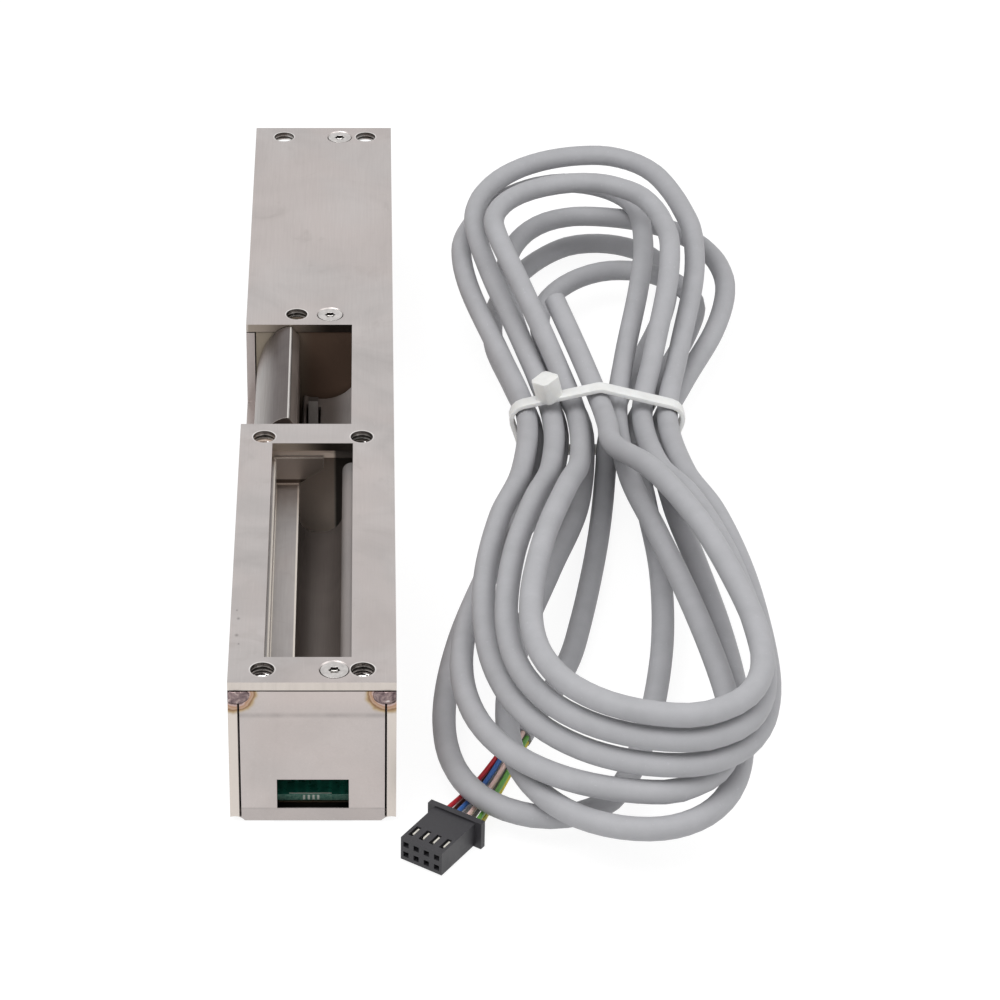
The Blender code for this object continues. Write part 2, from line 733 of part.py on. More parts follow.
def make_latch_bulkhead():
    """Wall at the far side of the latch opening, with a slot for the locking slide."""
    web = Shape().box((FITTED_LEFT, FITTED_RIGHT), BULKHEAD_WEB, (FLOOR, WALL_TOP))
    bulkhead = web.made("latch_bulkhead", STEEL)
    join_y = (BULKHEAD_WEB[0] + BULKHEAD_WEB[1]) / 2
    flange_y = (join_y, BULKHEAD_WEB[0] + UPPER_FLANGE)
    join(bulkhead, Shape().box((FITTED_LEFT, FITTED_RIGHT), flange_y, (WALL_TOP - SHEET, WALL_TOP)), "flange")
    holes = Shape()
    row = OPENING_FAR_Y + UPPER_ROW
    through = (WALL_TOP - 2 * SHEET, HEIGHT)
    holes.cylinder(TAPPED_D / 2, "z", (from_left(UPPER_HOLE), row), through)
    holes.cylinder(SCREW_D / 2 + PRESS, "z", (from_left(UPPER_SCREW), row), through)
    past = (BULKHEAD_WEB[0] - WEB, BULKHEAD_WEB[1] + WEB)
    holes.cylinder(KEEPER_PIN_D / 2 + PRESS, "y", (PIVOT_X, PIVOT_Z), past)
    slot_x = (SLIDE_LEFT - GAP, SLIDE_LEFT + SLIDE_WIDTH + GAP)
    holes.box(slot_x, past, (SLIDE_Z - GAP, SLIDE_Z + SLIDE_THICK + GAP))
    holes.box((FITTED_RIGHT - LEAD_WAY, FITTED_RIGHT - SHEET), past, (-SHEET, FLOOR + LEAD_WAY_HEIGHT))
    cut(bulkhead, holes, "holes")


def keeper_outline():
    """Section of the keeper: barrel, outer side, curved ramp, lip, chamfer and inner side."""
    side = PIVOT_X - BARREL_R
    lip = (from_left(LIP_X), HEIGHT - LIP_DROP)
    throat = from_left(KEEPER_THROAT)
    foot = PIVOT_Z + RAMP_FOOT
    ramp = []
    for i in range(13):
        angle = math.radians(90 * i / 12)
        x = lip[0] - (lip[0] - side) * math.cos(angle)
        ramp.append((x, foot + (lip[1] - foot) * math.sin(angle)))
    inner = [(throat, lip[1] - LIP_CHAMFER), (throat, PIVOT_Z + GAP)]
    barrel = arc((PIVOT_X, PIVOT_Z), BARREL_R, -40, -180, 10)
    return ramp + inner + barrel


def make_keeper():
    origin = (PIVOT_X, KEEPER_SPAN[0], PIVOT_Z)
    keeper = Shape().prism(keeper_outline(), "y", KEEPER_SPAN).made("keeper", STEEL, origin)
    tail_y = (KEEPER_SPAN[1] - TAIL_FROM_FAR - TAIL_WIDTH, KEEPER_SPAN[1] - TAIL_FROM_FAR)
    tail_x = (PIVOT_X - TAIL_THICK / 2, PIVOT_X + TAIL_THICK / 2)
    join(keeper, Shape().box(tail_x, tail_y, (PIVOT_Z - TAIL_LENGTH, PIVOT_Z)), "tail")
    cuts = Shape()
    recess = keeper_spring_span()
    margin = 2 * GAP
    past = KEEPER_SPAN[1] + WEB
    cuts.cylinder(SPRING_RECESS_R, "y", (PIVOT_X, PIVOT_Z), (recess[0] - margin, recess[1] + margin))
    bore = KEEPER_PIN_D / 2 + GAP
    cuts.cylinder(bore, "y", (PIVOT_X, PIVOT_Z), (KEEPER_SPAN[0] - WEB, recess[0] - margin - GAP))
    cuts.cylinder(bore, "y", (PIVOT_X, PIVOT_Z), (recess[1] + margin + GAP, past))
    cut(keeper, cuts, "pivot")
    link = Shape().cylinder(bore, "y", (PIVOT_X, PIVOT_Z), (recess[0] - 3 * margin, recess[1] + 3 * margin))
    cut(keeper, link, "pivot_middle")

    pin_span = (MID_WEB[0] - GAP, BULKHEAD_WEB[1] + GAP)
    pin = Shape().cylinder(KEEPER_PIN_D / 2, "y", (PIVOT_X, PIVOT_Z), pin_span)
    pin.made("keeper_pin", BRIGHT_STEEL)
    radius = KEEPER_PIN_D / 2 + GAP + KEEPER_WIRE / 2
    curls = math.floor(SPRING_RECESS / (KEEPER_WIRE + 2 * GAP))
    points = helix((PIVOT_X, PIVOT_Z), radius, recess, curls, 8, KEEPER_WIRE)
    print("keeper spring, least gap in mm:", least_gap(points, KEEPER_WIRE, 3 * KEEPER_WIRE))
    wire("keeper_spring", points, KEEPER_WIRE, SPRING_STEEL, 1)


def keeper_spring_span():
    start = KEEPER_SPAN[0] + SPRING_FROM_NEAR
    return (start, start + SPRING_RECESS)


def make_latch_trough():
    """Rounded sheet floor of the latch pocket, with its right wall and a slot for the sensing lever."""
    axis = (from_left(LATCH_AXIS), LATCH_FLOOR + LATCH_R)
    left = from_left(KEEPER_THROAT) + 2 * GAP + LINER / 2
    right = from_left(OPENING_DEPTH) + GAP
    start = math.degrees(math.acos((left - axis[0]) / LATCH_R))
    stop = math.degrees(math.acos((right - axis[0]) / LATCH_R))
    path = arc(axis, LATCH_R, -start, -stop, 10) + [(right, WALL_TOP), (right + LINER_FLANGE, WALL_TOP)]
    span = (OPENING_NEAR_Y + GAP, OPENING_FAR_Y - GAP)
    trough = Shape().prism(folded(path, LINER), "y", span).made("latch_trough", STEEL)
    slot_x = (LATCH_ARM_X - LATCH_SLOT_WIDTH / 2, LATCH_ARM_X + LATCH_SLOT_WIDTH / 2)
    slot_y = (FINGER_FAR - FINGER_RUN - GAP, FINGER_FAR + FINGER_SWING)
    slot = Shape().box(slot_x, slot_y, (LATCH_FLOOR - 3 * LINER, LATCH_FLOOR + LATCH_R / 2))
    cut(trough, slot, "lever_slot")


def make_latch_lever():
    """Sensing lever under the latch pocket: an arm on a cross pin, with a finger up through the slot."""
    low = ARM_Z - ARM_THICK / 2
    high = ARM_Z + ARM_THICK / 2
    finger_near = FINGER_FAR - FINGER_RUN
    outline = [
        (LATCH_PIN_Y, low),
        (FINGER_FAR, low),
        (FINGER_FAR, FINGER_TOP),
        (FINGER_FAR - FINGER_NOSE, FINGER_TOP),
        (finger_near, FINGER_TOP - FINGER_RAMP),
        (finger_near, high),
        (LATCH_PIN_Y, high),
    ]
    outline += arc((LATCH_PIN_Y, ARM_Z), ARM_THICK / 2, 90, 270, 8)[1:-1]
    arm_x = (LATCH_ARM_X - FINGER_WIDTH / 2, LATCH_ARM_X + FINGER_WIDTH / 2)
    lever = Shape().prism(outline, "x", arm_x).made("latch_lever", STEEL, (LATCH_ARM_X, LATCH_PIN_Y, ARM_Z))
    hub = Shape().cylinder(LATCH_PIN_D / 2 + GAP + LINER, "x", (LATCH_PIN_Y, ARM_Z), arm_x, 16)
    join(lever, hub, "hub")
    bore = Shape().cylinder(
        LATCH_PIN_D / 2 + GAP, "x", (LATCH_PIN_Y, ARM_Z), (arm_x[0] - LINER, arm_x[1] + LINER), 16
    )
    cut(lever, bore, "bore")

    reach = SWITCH_WIDTH / 2 + GAP + 2 * LINER
    span = (LATCH_ARM_X - reach, LATCH_ARM_X + reach)
    pin = Shape().cylinder(LATCH_PIN_D / 2, "x", (LATCH_PIN_Y, ARM_Z), span, 16)
    pin.made("latch_lever_pin", BRIGHT_STEEL)


def latch_switch_span():
    """Along the strike: the button lies just past the lever's pin."""
    far = LATCH_PIN_Y + SWITCH_LENGTH / 2
    return (far - SWITCH_LENGTH, far)


def make_latch_sensor():
    """Microswitch under the latch lever, and the bracket that holds it and the lever's pin."""
    inner = SWITCH_WIDTH / 2 + GAP
    x = LATCH_ARM_X
    path = [(x - inner, EAR_TOP), (x - inner, FLOOR + LINER), (x + inner, FLOOR + LINER), (x + inner, EAR_TOP)]
    ears_y = (LATCH_PIN_Y - EAR_LENGTH / 2, LATCH_PIN_Y + EAR_LENGTH / 2)
    bracket = Shape().prism(folded(path, LINER), "y", ears_y).made("latch_sensor_bracket", STEEL)
    hole = Shape()
    past = (x - inner - 3 * LINER, x + inner + 3 * LINER)
    hole.cylinder(LATCH_PIN_D / 2 + PRESS, "x", (LATCH_PIN_Y, ARM_Z), past, 16)
    cut(bracket, hole, "pin_holes")
    low = FLOOR + LINER + GAP
    span = latch_switch_span()
    button_y = span[1] - BUTTON_FROM_END
    make_switch("latch_switch", x, span, (low, low + LATCH_SWITCH_HEIGHT), button_y, LATCH_BUTTON_TOP)


def make_switch(name, x, y, z, button_y, button_top):
    """A microswitch body and the button that slides in its top."""
    body = Shape().box((x - SWITCH_WIDTH / 2, x + SWITCH_WIDTH / 2), y, z).made(name, BLACK)
    half_x = BUTTON_WIDTH / 2
    half_y = BUTTON_LENGTH / 2
    well = Shape().box(
        (x - half_x - GAP, x + half_x + GAP),
        (button_y - half_y - GAP, button_y + half_y + GAP),
        (z[1] - BUTTON_DEPTH - BUTTON_STROKE, z[1] + BUTTON_DEPTH),
    )
    cut(body, well, "button_well")
    button = Shape().box(
        (x - half_x, x + half_x),
        (button_y - half_y, button_y + half_y),
        (z[1] - BUTTON_DEPTH + GAP, button_top),
    )
    button.made(name + "_button", CREAM, (x, button_y, z[1]))


def make_bolt_trough():
    """Rounded sheet floor of the bolt window, whose right wall bends out below the plate."""
    left = from_left(BOLT_LEFT)
    right = from_left(BOLT_RIGHT)
    top = WALL_TOP - BOLT_FLANGE_DROP
    path = [(left, BOLT_LEFT_TOP)]
    path += arc((left + BOLT_LEFT_R, BOLT_FLOOR + BOLT_LEFT_R), BOLT_LEFT_R, 180, 270, 6)
    path += arc((right - BOLT_RIGHT_R, BOLT_FLOOR + BOLT_RIGHT_R), BOLT_RIGHT_R, 270, 360, 8)
    path += arc((right + BOLT_BEND, top - BOLT_BEND), BOLT_BEND, 180, 90, 5)
    path.append((right + BOLT_BEND + LINER_FLANGE, top))
    Shape().prism(folded(path, LINER), "y", TROUGH_SPAN).made("bolt_trough", STEEL)


def make_bolt_lever():
    """Long sheet lever at the window's left: a curb, a ledge with a lip, a far flap and two knuckles."""
    left = from_left(LEDGE_LEFT)
    right = from_left(LEDGE_RIGHT)
    path = [
        (left, LEDGE_Z + LEDGE_CURB),
        (left, LEDGE_Z),
        (right, LEDGE_Z),
        (right, LEDGE_Z - LEDGE_LIP),
    ]
    pivot = (LEVER_PIN_CENTRE_X, LEVER_PIN_Z)
    origin = (pivot[0], LEVER_SPAN[0], pivot[1])
    lever = Shape().prism(folded(path, LINER), "y", LEVER_SPAN).made("bolt_lever", STEEL, origin)

    flap_right = from_left(FLAP_RIGHT)
    flap = [
        (left - LINER / 2, LEDGE_Z - LINER / 2),
        (right - LINER, LEDGE_Z - LINER / 2),
        (flap_right, LEDGE_Z + FLAP_CHAMFER),
        (flap_right, FLAP_TOP),
        (left - LINER / 2, FLAP_TOP),
    ]
    join(lever, Shape().prism(flap, "y", (LEVER_SPAN[1] - FLAP, LEVER_SPAN[1])), "flap")
    arms = Shape()
    bores = Shape()
    for y in knuckle_spans():
        arm = arc(pivot, KNUCKLE_R, 90, 270, 10)
        arm += [(left - LINER / 2, pivot[1] - KNUCKLE_R), (left - LINER / 2, pivot[1] + KNUCKLE_R)]
        arms.prism(arm, "y", y)
        bores.cylinder(LEVER_PIN_D / 2 + GAP, "y", pivot, (y[0] - LINER, y[1] + LINER), 16)
    join(lever, arms, "knuckles")
    cut(lever, bores, "bores")

    pin_span = (from_near(WINDOW_NEAR), MID_WEB[1] - GAP)
    Shape().cylinder(LEVER_PIN_D / 2, "y", pivot, pin_span, 16).made("bolt_lever_pin", BRIGHT_STEEL)
    middle = (LEVER_SPAN[0] + LEVER_SPAN[1]) / 2
    reach = LEVER_CURLS * (LEVER_WIRE + 2 * GAP) / 2
    radius = LEVER_PIN_D / 2 + GAP + LEVER_WIRE / 2
    points = helix(pivot, radius, (middle - reach, middle + reach), LEVER_CURLS, 8, LEVER_WIRE)
    print("bolt lever spring, least gap in mm:", least_gap(points, LEVER_WIRE, 3 * LEVER_WIRE))
    wire("bolt_lever_spring", points, LEVER_WIRE, SPRING_STEEL, 1)

    bracket_y = (from_near(WINDOW_NEAR) + GAP, from_near(WINDOW_NEAR) + GAP + WEB)
    bracket_x = (FITTED_LEFT, from_left(BOLT_LEFT) - LINER - GAP)
    bracket = Shape().box(bracket_x, bracket_y, (LEDGE_Z - LEDGE_LIP, WALL_TOP))
    bracket = bracket.made("lever_pin_bracket", STEEL)
    hole = Shape()
    hole.cylinder(LEVER_PIN_D / 2 + PRESS, "y", pivot, (bracket_y[0] - WEB, bracket_y[1] + WEB), 16)
    cut(bracket, hole, "pin_hole")


def knuckle_spans():
    near = LEVER_SPAN[0] + KNUCKLE_INSET
    far = LEVER_SPAN[1] - KNUCKLE_INSET
    return ((near, near + KNUCKLE_LENGTH), (far - KNUCKLE_LENGTH, far))


def make_bolt_sensor():
    """Microswitch under the bolt lever's ledge, on a bracket from the left wall."""
    right = from_left(LEDGE_RIGHT) - LINER - 4 * GAP
    x = right - SWITCH_WIDTH / 2
    top = BOLT_LEFT_TOP + GAP
    low = top - BOLT_SWITCH_HEIGHT
    middle = (LEVER_SPAN[0] + LEVER_SPAN[1]) / 2
    near = middle + LEVER_CURLS * LEVER_WIRE * 2
    span = (near, near + SWITCH_LENGTH)
    make_switch("bolt_switch", x, span, (low, top), span[0] + SWITCH_LENGTH / 2, BOLT_BUTTON_TOP)
    path = [(FITTED_LEFT + LINER, top), (FITTED_LEFT + LINER, low - GAP), (right, low - GAP)]
    bracket = Shape().prism(folded(path, LINER), "y", (span[0] + LINER, span[1] - LINER))
    bracket.made("bolt_switch_bracket", STEEL)


def make_locking_slide():
    """Flat slide that goes behind the keeper's tail, with an upright tab for the push rod."""
    x = (SLIDE_LEFT, SLIDE_LEFT + SLIDE_WIDTH)
    z = (SLIDE_Z, SLIDE_Z + SLIDE_THICK)
    half_tab = SLIDE_TAB_WIDTH / 2
    outline = [
        (x[0], SLIDE_TIP),
        (x[1], SLIDE_TIP),
        (x[1], SLIDE_REAR - SLIDE_CROSS),
        (half_tab, SLIDE_REAR - SLIDE_CROSS),
        (half_tab, SLIDE_REAR),
        (x[0], SLIDE_REAR),
    ]
    slide = Shape().prism(outline, "z", z).made("locking_slide", BRIGHT_STEEL, (0, SLIDE_REAR, COIL_Z))
    tab_x = (GAP - half_tab, half_tab - GAP)
    tab_y = (SLIDE_REAR - SLIDE_TAB, SLIDE_REAR - GAP / 2)
    join(slide, Shape().box(tab_x, tab_y, (z[0] + GAP, SLIDE_TAB_TOP)), "tab")

    guide_y = (BULKHEAD_WEB[1] + GAP, SLIDE_REAR + SLIDE_CROSS)
    base = SLIDE_Z - GAP
    cheek = SLIDE_LEFT - GAP
    outline = [
        (cheek - GUIDE_CHEEK, FLOOR),
        (half_tab + GUIDE_CHEEK, FLOOR),
        (half_tab + GUIDE_CHEEK, base),
        (cheek, base),
        (cheek, z[1] + GUIDE_LIP),
        (cheek - GUIDE_CHEEK, z[1] + GUIDE_LIP),
    ]
    Shape().prism(outline, "y", guide_y).made("slide_guide", BLACK)

    spring_y = (BULKHEAD_WEB[1] + GAP + SLIDE_WIRE, SLIDE_REAR - SLIDE_TAB - GAP - SLIDE_WIRE)
    points = helix((0, COIL_Z), SLIDE_SPRING_R, spring_y, SLIDE_CURLS, 8, SLIDE_WIRE)
    print("slide spring, least gap in mm:", least_gap(points, SLIDE_WIRE, 3 * SLIDE_WIRE))
    wire("slide_spring", points, SLIDE_WIRE, SPRING_STEEL, 1)


def make_solenoid():
    """Push solenoid: a U frame, bobbin, winding, pole piece and plunger with its push rod."""
    axis = (0, COIL_Z)
    near = (COIL_NEAR - FRAME, COIL_NEAR)
    far = (COIL_FAR, COIL_FAR + FRAME)
    path = [(COIL_NEAR, FRAME_TOP), (COIL_NEAR, FLOOR + FRAME), (COIL_FAR, FLOOR + FRAME), (COIL_FAR, FRAME_TOP)]
    frame = Shape().prism(folded(path, FRAME), "x", (-FRAME_SIDE, FRAME_SIDE)).made("solenoid_frame", STEEL)
    holes = Shape()
    holes.cylinder(ROD_R + GAP, "y", axis, (near[0] - FRAME, near[1] + FRAME), 16)
    holes.cylinder(PLUNGER_R + GAP, "y", axis, (far[0] - FRAME, far[1] + FRAME))
    cut(frame, holes, "rod_holes")

    tube_r = BOBBIN_BORE_R + BOBBIN_WALL
    low = COIL_NEAR + GAP
    high = COIL_FAR - GAP
    profile = [
        (BOBBIN_BORE_R, low),
        (COIL_R + GAP, low),
        (COIL_R + GAP, low + BOBBIN_FLANGE),
        (tube_r, low + BOBBIN_FLANGE),
        (tube_r, high - BOBBIN_FLANGE),
        (COIL_R + GAP, high - BOBBIN_FLANGE),
        (COIL_R + GAP, high),
        (BOBBIN_BORE_R, high),
    ]
    Shape().turned(profile, "y", axis, 28, ring=True).made("coil_bobbin", WHITE_NYLON)
    winding = (low + BOBBIN_FLANGE + GAP, high - BOBBIN_FLANGE - GAP)
    Shape().tube(tube_r + GAP, COIL_R, "y", axis, winding, 28).made("coil_winding", COPPER)
    pole = (COIL_NEAR + GAP, COIL_NEAR + GAP + POLE_LENGTH)
    Shape().tube(ROD_R + GAP, BOBBIN_BORE_R - GAP, "y", axis, pole).made("pole_piece", STEEL)

    rod_tip = SLIDE_REAR + GAP
    front = pole[1] + SLIDE_TRAVEL + GAP
    rear = front + PLUNGER_LENGTH
    groove = PLUNGER_R - PLUNGER_GROOVE
    profile = [
        (ROD_R, rod_tip),
        (ROD_R, front),
        (PLUNGER_R, front),
        (PLUNGER_R, rear - 3 * PLUNGER_GROOVE),
        (groove, rear - 3 * PLUNGER_GROOVE),
        (groove, rear - 2 * PLUNGER_GROOVE),
        (PLUNGER_R, rear - 2 * PLUNGER_GROOVE),
        (PLUNGER_R, rear),
    ]
    Shape().turned(profile, "y", axis).made("plunger", BRIGHT_STEEL, (0, rod_tip, COIL_Z))


def pin_places():
    """Row, X and number of each of the plug's ways, and of the header's pins."""
    for row in range(PIN_ROWS):
        for column in range(PIN_COLUMNS):
            yield row, (column - (PIN_COLUMNS - 1) / 2) * PITCH, row * PIN_COLUMNS + column + 1


def make_electronics():
    """Circuit board on an insulating sheet, with the pin header and two larger parts."""
    board_x = (BOARD_LEFT, -BOARD_LEFT)
    Shape().box(board_x, BOARD_SPAN, (BOARD_UNDER, BOARD_TOP)).made("circuit_board", GREEN_BOARD)
    Shape().box(board_x, BOARD_SPAN, (FLOOR, FLOOR + FOIL)).made("insulating_sheet", FOIL_AMBER)

    half = PIN_COLUMNS * PITCH / 2
    near = from_near(HEADER_NEAR)
    seat = BOARD_TOP + GAP
    top = BOARD_TOP + PIN_FLOOR + (PIN_ROWS - 1) * PITCH + HEADER_MARGIN
    header = Shape().box((-half, half), (near, near + HEADER), (seat, top)).made("pin_header", BLACK)
    pins = Shape()
    pin = PIN_SIZE / 2
    for row, x, _ in pin_places():
        z = BOARD_TOP + PIN_FLOOR + row * PITCH
        rear = near + HEADER + PIN_TAIL + row * PITCH
        outline = [
            (near - PIN_REACH, z - pin),
            (rear - pin, z - pin),
            (rear - pin, seat),
            (rear + pin, seat),
            (rear + pin, z + pin),
            (near - PIN_REACH, z + pin),
        ]
        pins.prism(outline, "x", (x - pin, x + pin))
    join(header, pins, "pins")

    place = (from_left(CAPACITOR_PLACE[0]), from_near(CAPACITOR_PLACE[1]))
    Shape().cylinder(CAPACITOR_R, "z", place, (seat, seat + CAPACITOR_HEIGHT)).made("capacitor", BLACK)
    x = from_left(RELAY_PLACE[0])
    y = from_near(RELAY_PLACE[1])
    relay = Shape().box((x, x + RELAY_SIZE[0]), (y, y + RELAY_SIZE[1]), (seat, seat + RELAY_SIZE[2]))
    relay.made("relay", BLACK)


def make_coil_leads():
    """Two wires from the board, under the brackets and along the right wall, to the coil."""
    colours = {"red": CORE_COLOURS["red"], "black": BLACK}
    low = FLOOR + LEAD_RISE
    end_y = COIL_NEAR - FRAME - 2 * GAP
    for (colour, finish), x in zip(colours.items(), LEAD_X):
        seat = BOARD_TOP + GAP + LEAD_D / 2
        stations = [
            (x, BOARD_SPAN[1] - 4 * LEAD_D, seat),
            (x, BOARD_SPAN[1] + 2 * LEAD_D, seat),
            (x, MID_WEB[0], low),
            (x, BULKHEAD_WEB[1] + WEB, low),
            (x, end_y - 4 * LEAD_D, low + LEAD_D),
            (x, end_y, low + LEAD_D),
        ]
        wire(f"coil_lead_{colour}", smooth_route(stations, 3 * LEAD_D), LEAD_D, finish)


def plug_matrix():
    place = Vector((*PLUG_PLACE, 0)) * MM
    return Matrix.Translation(place) @ Matrix.Rotation(math.radians(PLUG_TURN), 4, "Z")


def plug_way_z(row):
    """Height of a row of ways in the plug."""
    return PLUG_RIM_HEIGHT + PLUG_HEIGHT / 2 + (row - 0.5) * PITCH


def make_plug():
    """The cable's socket housing with its rear rim, ways and top slots, and the terminals inside."""
    half = PLUG_WIDTH / 2
    floor = PLUG_RIM_HEIGHT
    body = Shape().box((-half, half), (0, PLUG_LENGTH), (floor, floor + PLUG_HEIGHT)).place(plug_matrix())
    body = body.made("connector_housing", BLACK)
    rim = Shape().box(
        (-half - PLUG_RIM, half + PLUG_RIM),
        (PLUG_LENGTH - PLUG_FLANGE, PLUG_LENGTH - GAP / 3),
        (GAP / 3, PLUG_HEIGHT + 2 * floor - GAP / 3),
    )
    join(body, rim.place(plug_matrix()), "rim")
    ways = Shape()
    slots = Shape()
    way = SOCKET_SIZE / 2
    pin = TERMINAL / 2
    for row, x, number in pin_places():
        z = plug_way_z(row)
        ways.box((x - way, x + way), (-PLUG_FLANGE, PLUG_LENGTH + PLUG_FLANGE), (z - way, z + way))
        if row == PIN_ROWS - 1:
            slots.box(
                (x - SOCKET_SLOT_WIDTH / 2, x + SOCKET_SLOT_WIDTH / 2),
                (SOCKET_SLOT_NEAR, SOCKET_SLOT_NEAR + SOCKET_SLOT_LENGTH),
                (z, floor + PLUG_HEIGHT + PLUG_RIM),
            )
        terminal = Shape().box((x - pin, x + pin), (TERMINAL_NEAR, TERMINAL_REAR), (z - pin, z + pin))
        terminal.place(plug_matrix()).made(f"terminal_{number}", GOLD)
    cut(body, ways.place(plug_matrix()), "ways")
    cut(body, slots.place(plug_matrix()), "slots")


def eased(share):
    """Smooth step from 0 to 1."""
    share = min(1.0, max(0.0, share))
    return share * share * (3 - 2 * share)


def hank_point(share):
    """Middle of the cable after some turns. Loops stack up in the lobes and lie in two layers at the waist.

    A quarter turn is the far lobe's end and three quarters the near one's. The cable comes in at the bottom.
    """
    turn = share + LOBE_DENSITY * math.sin(4 * math.pi * share) / (2 * math.pi)
    sine = math.sin(2 * math.pi * turn)
    cosine = math.cos(2 * math.pi * turn)
    fold = math.pi / 2 * eased(abs(sine) / LOBE_START)
    loop = min(int(turn), len(FAR_LOBES) - 1)
    right = 1 if cosine >= 0 else 0
    column, layer = RIGHT_SEATS[round(turn)] if right else LEFT_SEATS[loop]
    length, lean, *swells = FAR_LOBES[loop] if sine > 0 else NEAR_LOBES[loop]
    power = 1.0 if sine > 0 else NEAR_POWERS[loop][right]
    bulge = math.hypot(sine, WAIST_SOFTNESS) - WAIST_SOFTNESS
    drawn_in = WAIST_STEP * column * math.cos(math.pi / 2 * eased(abs(sine))) * (1 if right else -1)
    across = cosine * swells[right] * bulge**power + lean * sine**2 * bulge + drawn_in
    rise = LOOP_RISE * turn * math.sin(fold) + (WAIST_LAYER * layer + TIE + GAP) * math.cos(fold)
    return (HANK[0] + across, HANK[1] + length * sine, CABLE_D / 2 + GAP / 2 + rise)


def bend_radius(a, b, c):
    """Radius of the circle through three points."""
    twice_area = (b - a).cross(c - a).length
    return (b - a).length * (c - b).length * (c - a).length / max(2 * twice_area, 1e-9)


def eased_bends(points, least):
    """Draws tight bends in, a little at a time, until none is tighter than the least radius."""
    points = [Vector(p) for p in points]
    for _ in range(300):
        tight = [i for i in range(1, len(points) - 1) if bend_radius(*points[i - 1 : i + 2]) < least]
        drawn = {i: points[i].lerp((points[i - 1] + points[i + 1]) / 2, 0.1) for i in tight}
        for i, place in drawn.items():
            points[i] = place
    return points


def cable_route():
    """From the jacket's end by the plug, round the loops and over the waist to the cut end."""
    last = len(FAR_LOBES) * LOOP_POINTS - CUT_END_LEAVES
    loops = eased_bends([hank_point(i / LOOP_POINTS) for i in range(last + 1)], LEAST_BEND * CABLE_D)
    floor = CABLE_D / 2 + GAP / 2
    lead = [(x, y, floor) for x, y in LEAD_ROUTE]
    lead = smooth_route([*lead, loops[0]], 3 * CABLE_D)
    end = smooth_route([loops[-1], *CUT_END_ROUTE], 3 * CABLE_D)
    return [*lead[:-1], *loops, *end[1:]]


def make_cable():
    points = cable_route()
    length = sum((b - a).length for a, b in zip(points, points[1:]))
    print("cable, length in mm:", length)
    print("cable, least gap to itself in mm:", least_gap(points, CABLE_D, 5 * CABLE_D))
    wire("cable_hank", points, CABLE_D, GREY_JACKET, 1)


def make_cores():
    """Eight cores from the jacket's end, flat under the lowest loop, to the plug's ways."""
    floor = CABLE_D / 2 + GAP / 2
    jacket = Vector((*LEAD_ROUTE[0], floor))
    heading = (jacket - Vector((*LEAD_ROUTE[1], floor))).normalized()
    across = heading.cross(Vector((0, 0, 1)))
    matrix = plug_matrix()
    plug_rear = matrix @ (Vector((0, PLUG_LENGTH, 0)) * MM) / MM
    middle = (plug_rear + jacket) / 2
    side = -(jacket - plug_rear).normalized().cross(Vector((0, 0, -1)))
    for (row, x, number), (colour, finish) in zip(pin_places(), CORE_COLOURS.items()):
        column = (number - 1) % PIN_COLUMNS - (PIN_COLUMNS - 1) / 2
        angle = math.radians(90 - 45 * column)
        ring = Vector((0, 0, CORE_RING_R * math.sin(angle) * (1 if row else -1)))
        ring -= across * CORE_RING_R * math.cos(angle)
        z = plug_way_z(row)
        drop = CORE_DROP * row
        near = [(x, TERMINAL_REAR + GAP, z), (x, PLUG_LENGTH + CORE_D, z - drop)]
        near = [matrix @ (Vector(place) * MM) / MM for place in near]
        flat = middle + side * column * CORE_MID_STEP
        flat.z = CORE_MID_Z[row]
        far = [jacket + heading * reach + ring for reach in (2 * CORE_D, GAP)]
        wire(f"core_{colour}", smooth_route([*near, flat, *far], 2.5 * CORE_D), CORE_D, finish)


def wrapped(centres, radius, steps=4):
    """Outline round equal circles whose centres go round anticlockwise."""
    outline = []
    count = len(centres)
    for i, centre in enumerate(centres):
        before = centres[i - 1]
        after = centres[(i + 1) % count]
        start = math.degrees(math.atan2(centre[1] - before[1], centre[0] - before[0])) - 90
        stop = math.degrees(math.atan2(after[1] - centre[1], after[0] - centre[0])) - 90
        outline += arc(centre, radius, start, start + (stop - start) % 360, steps)
    return outline


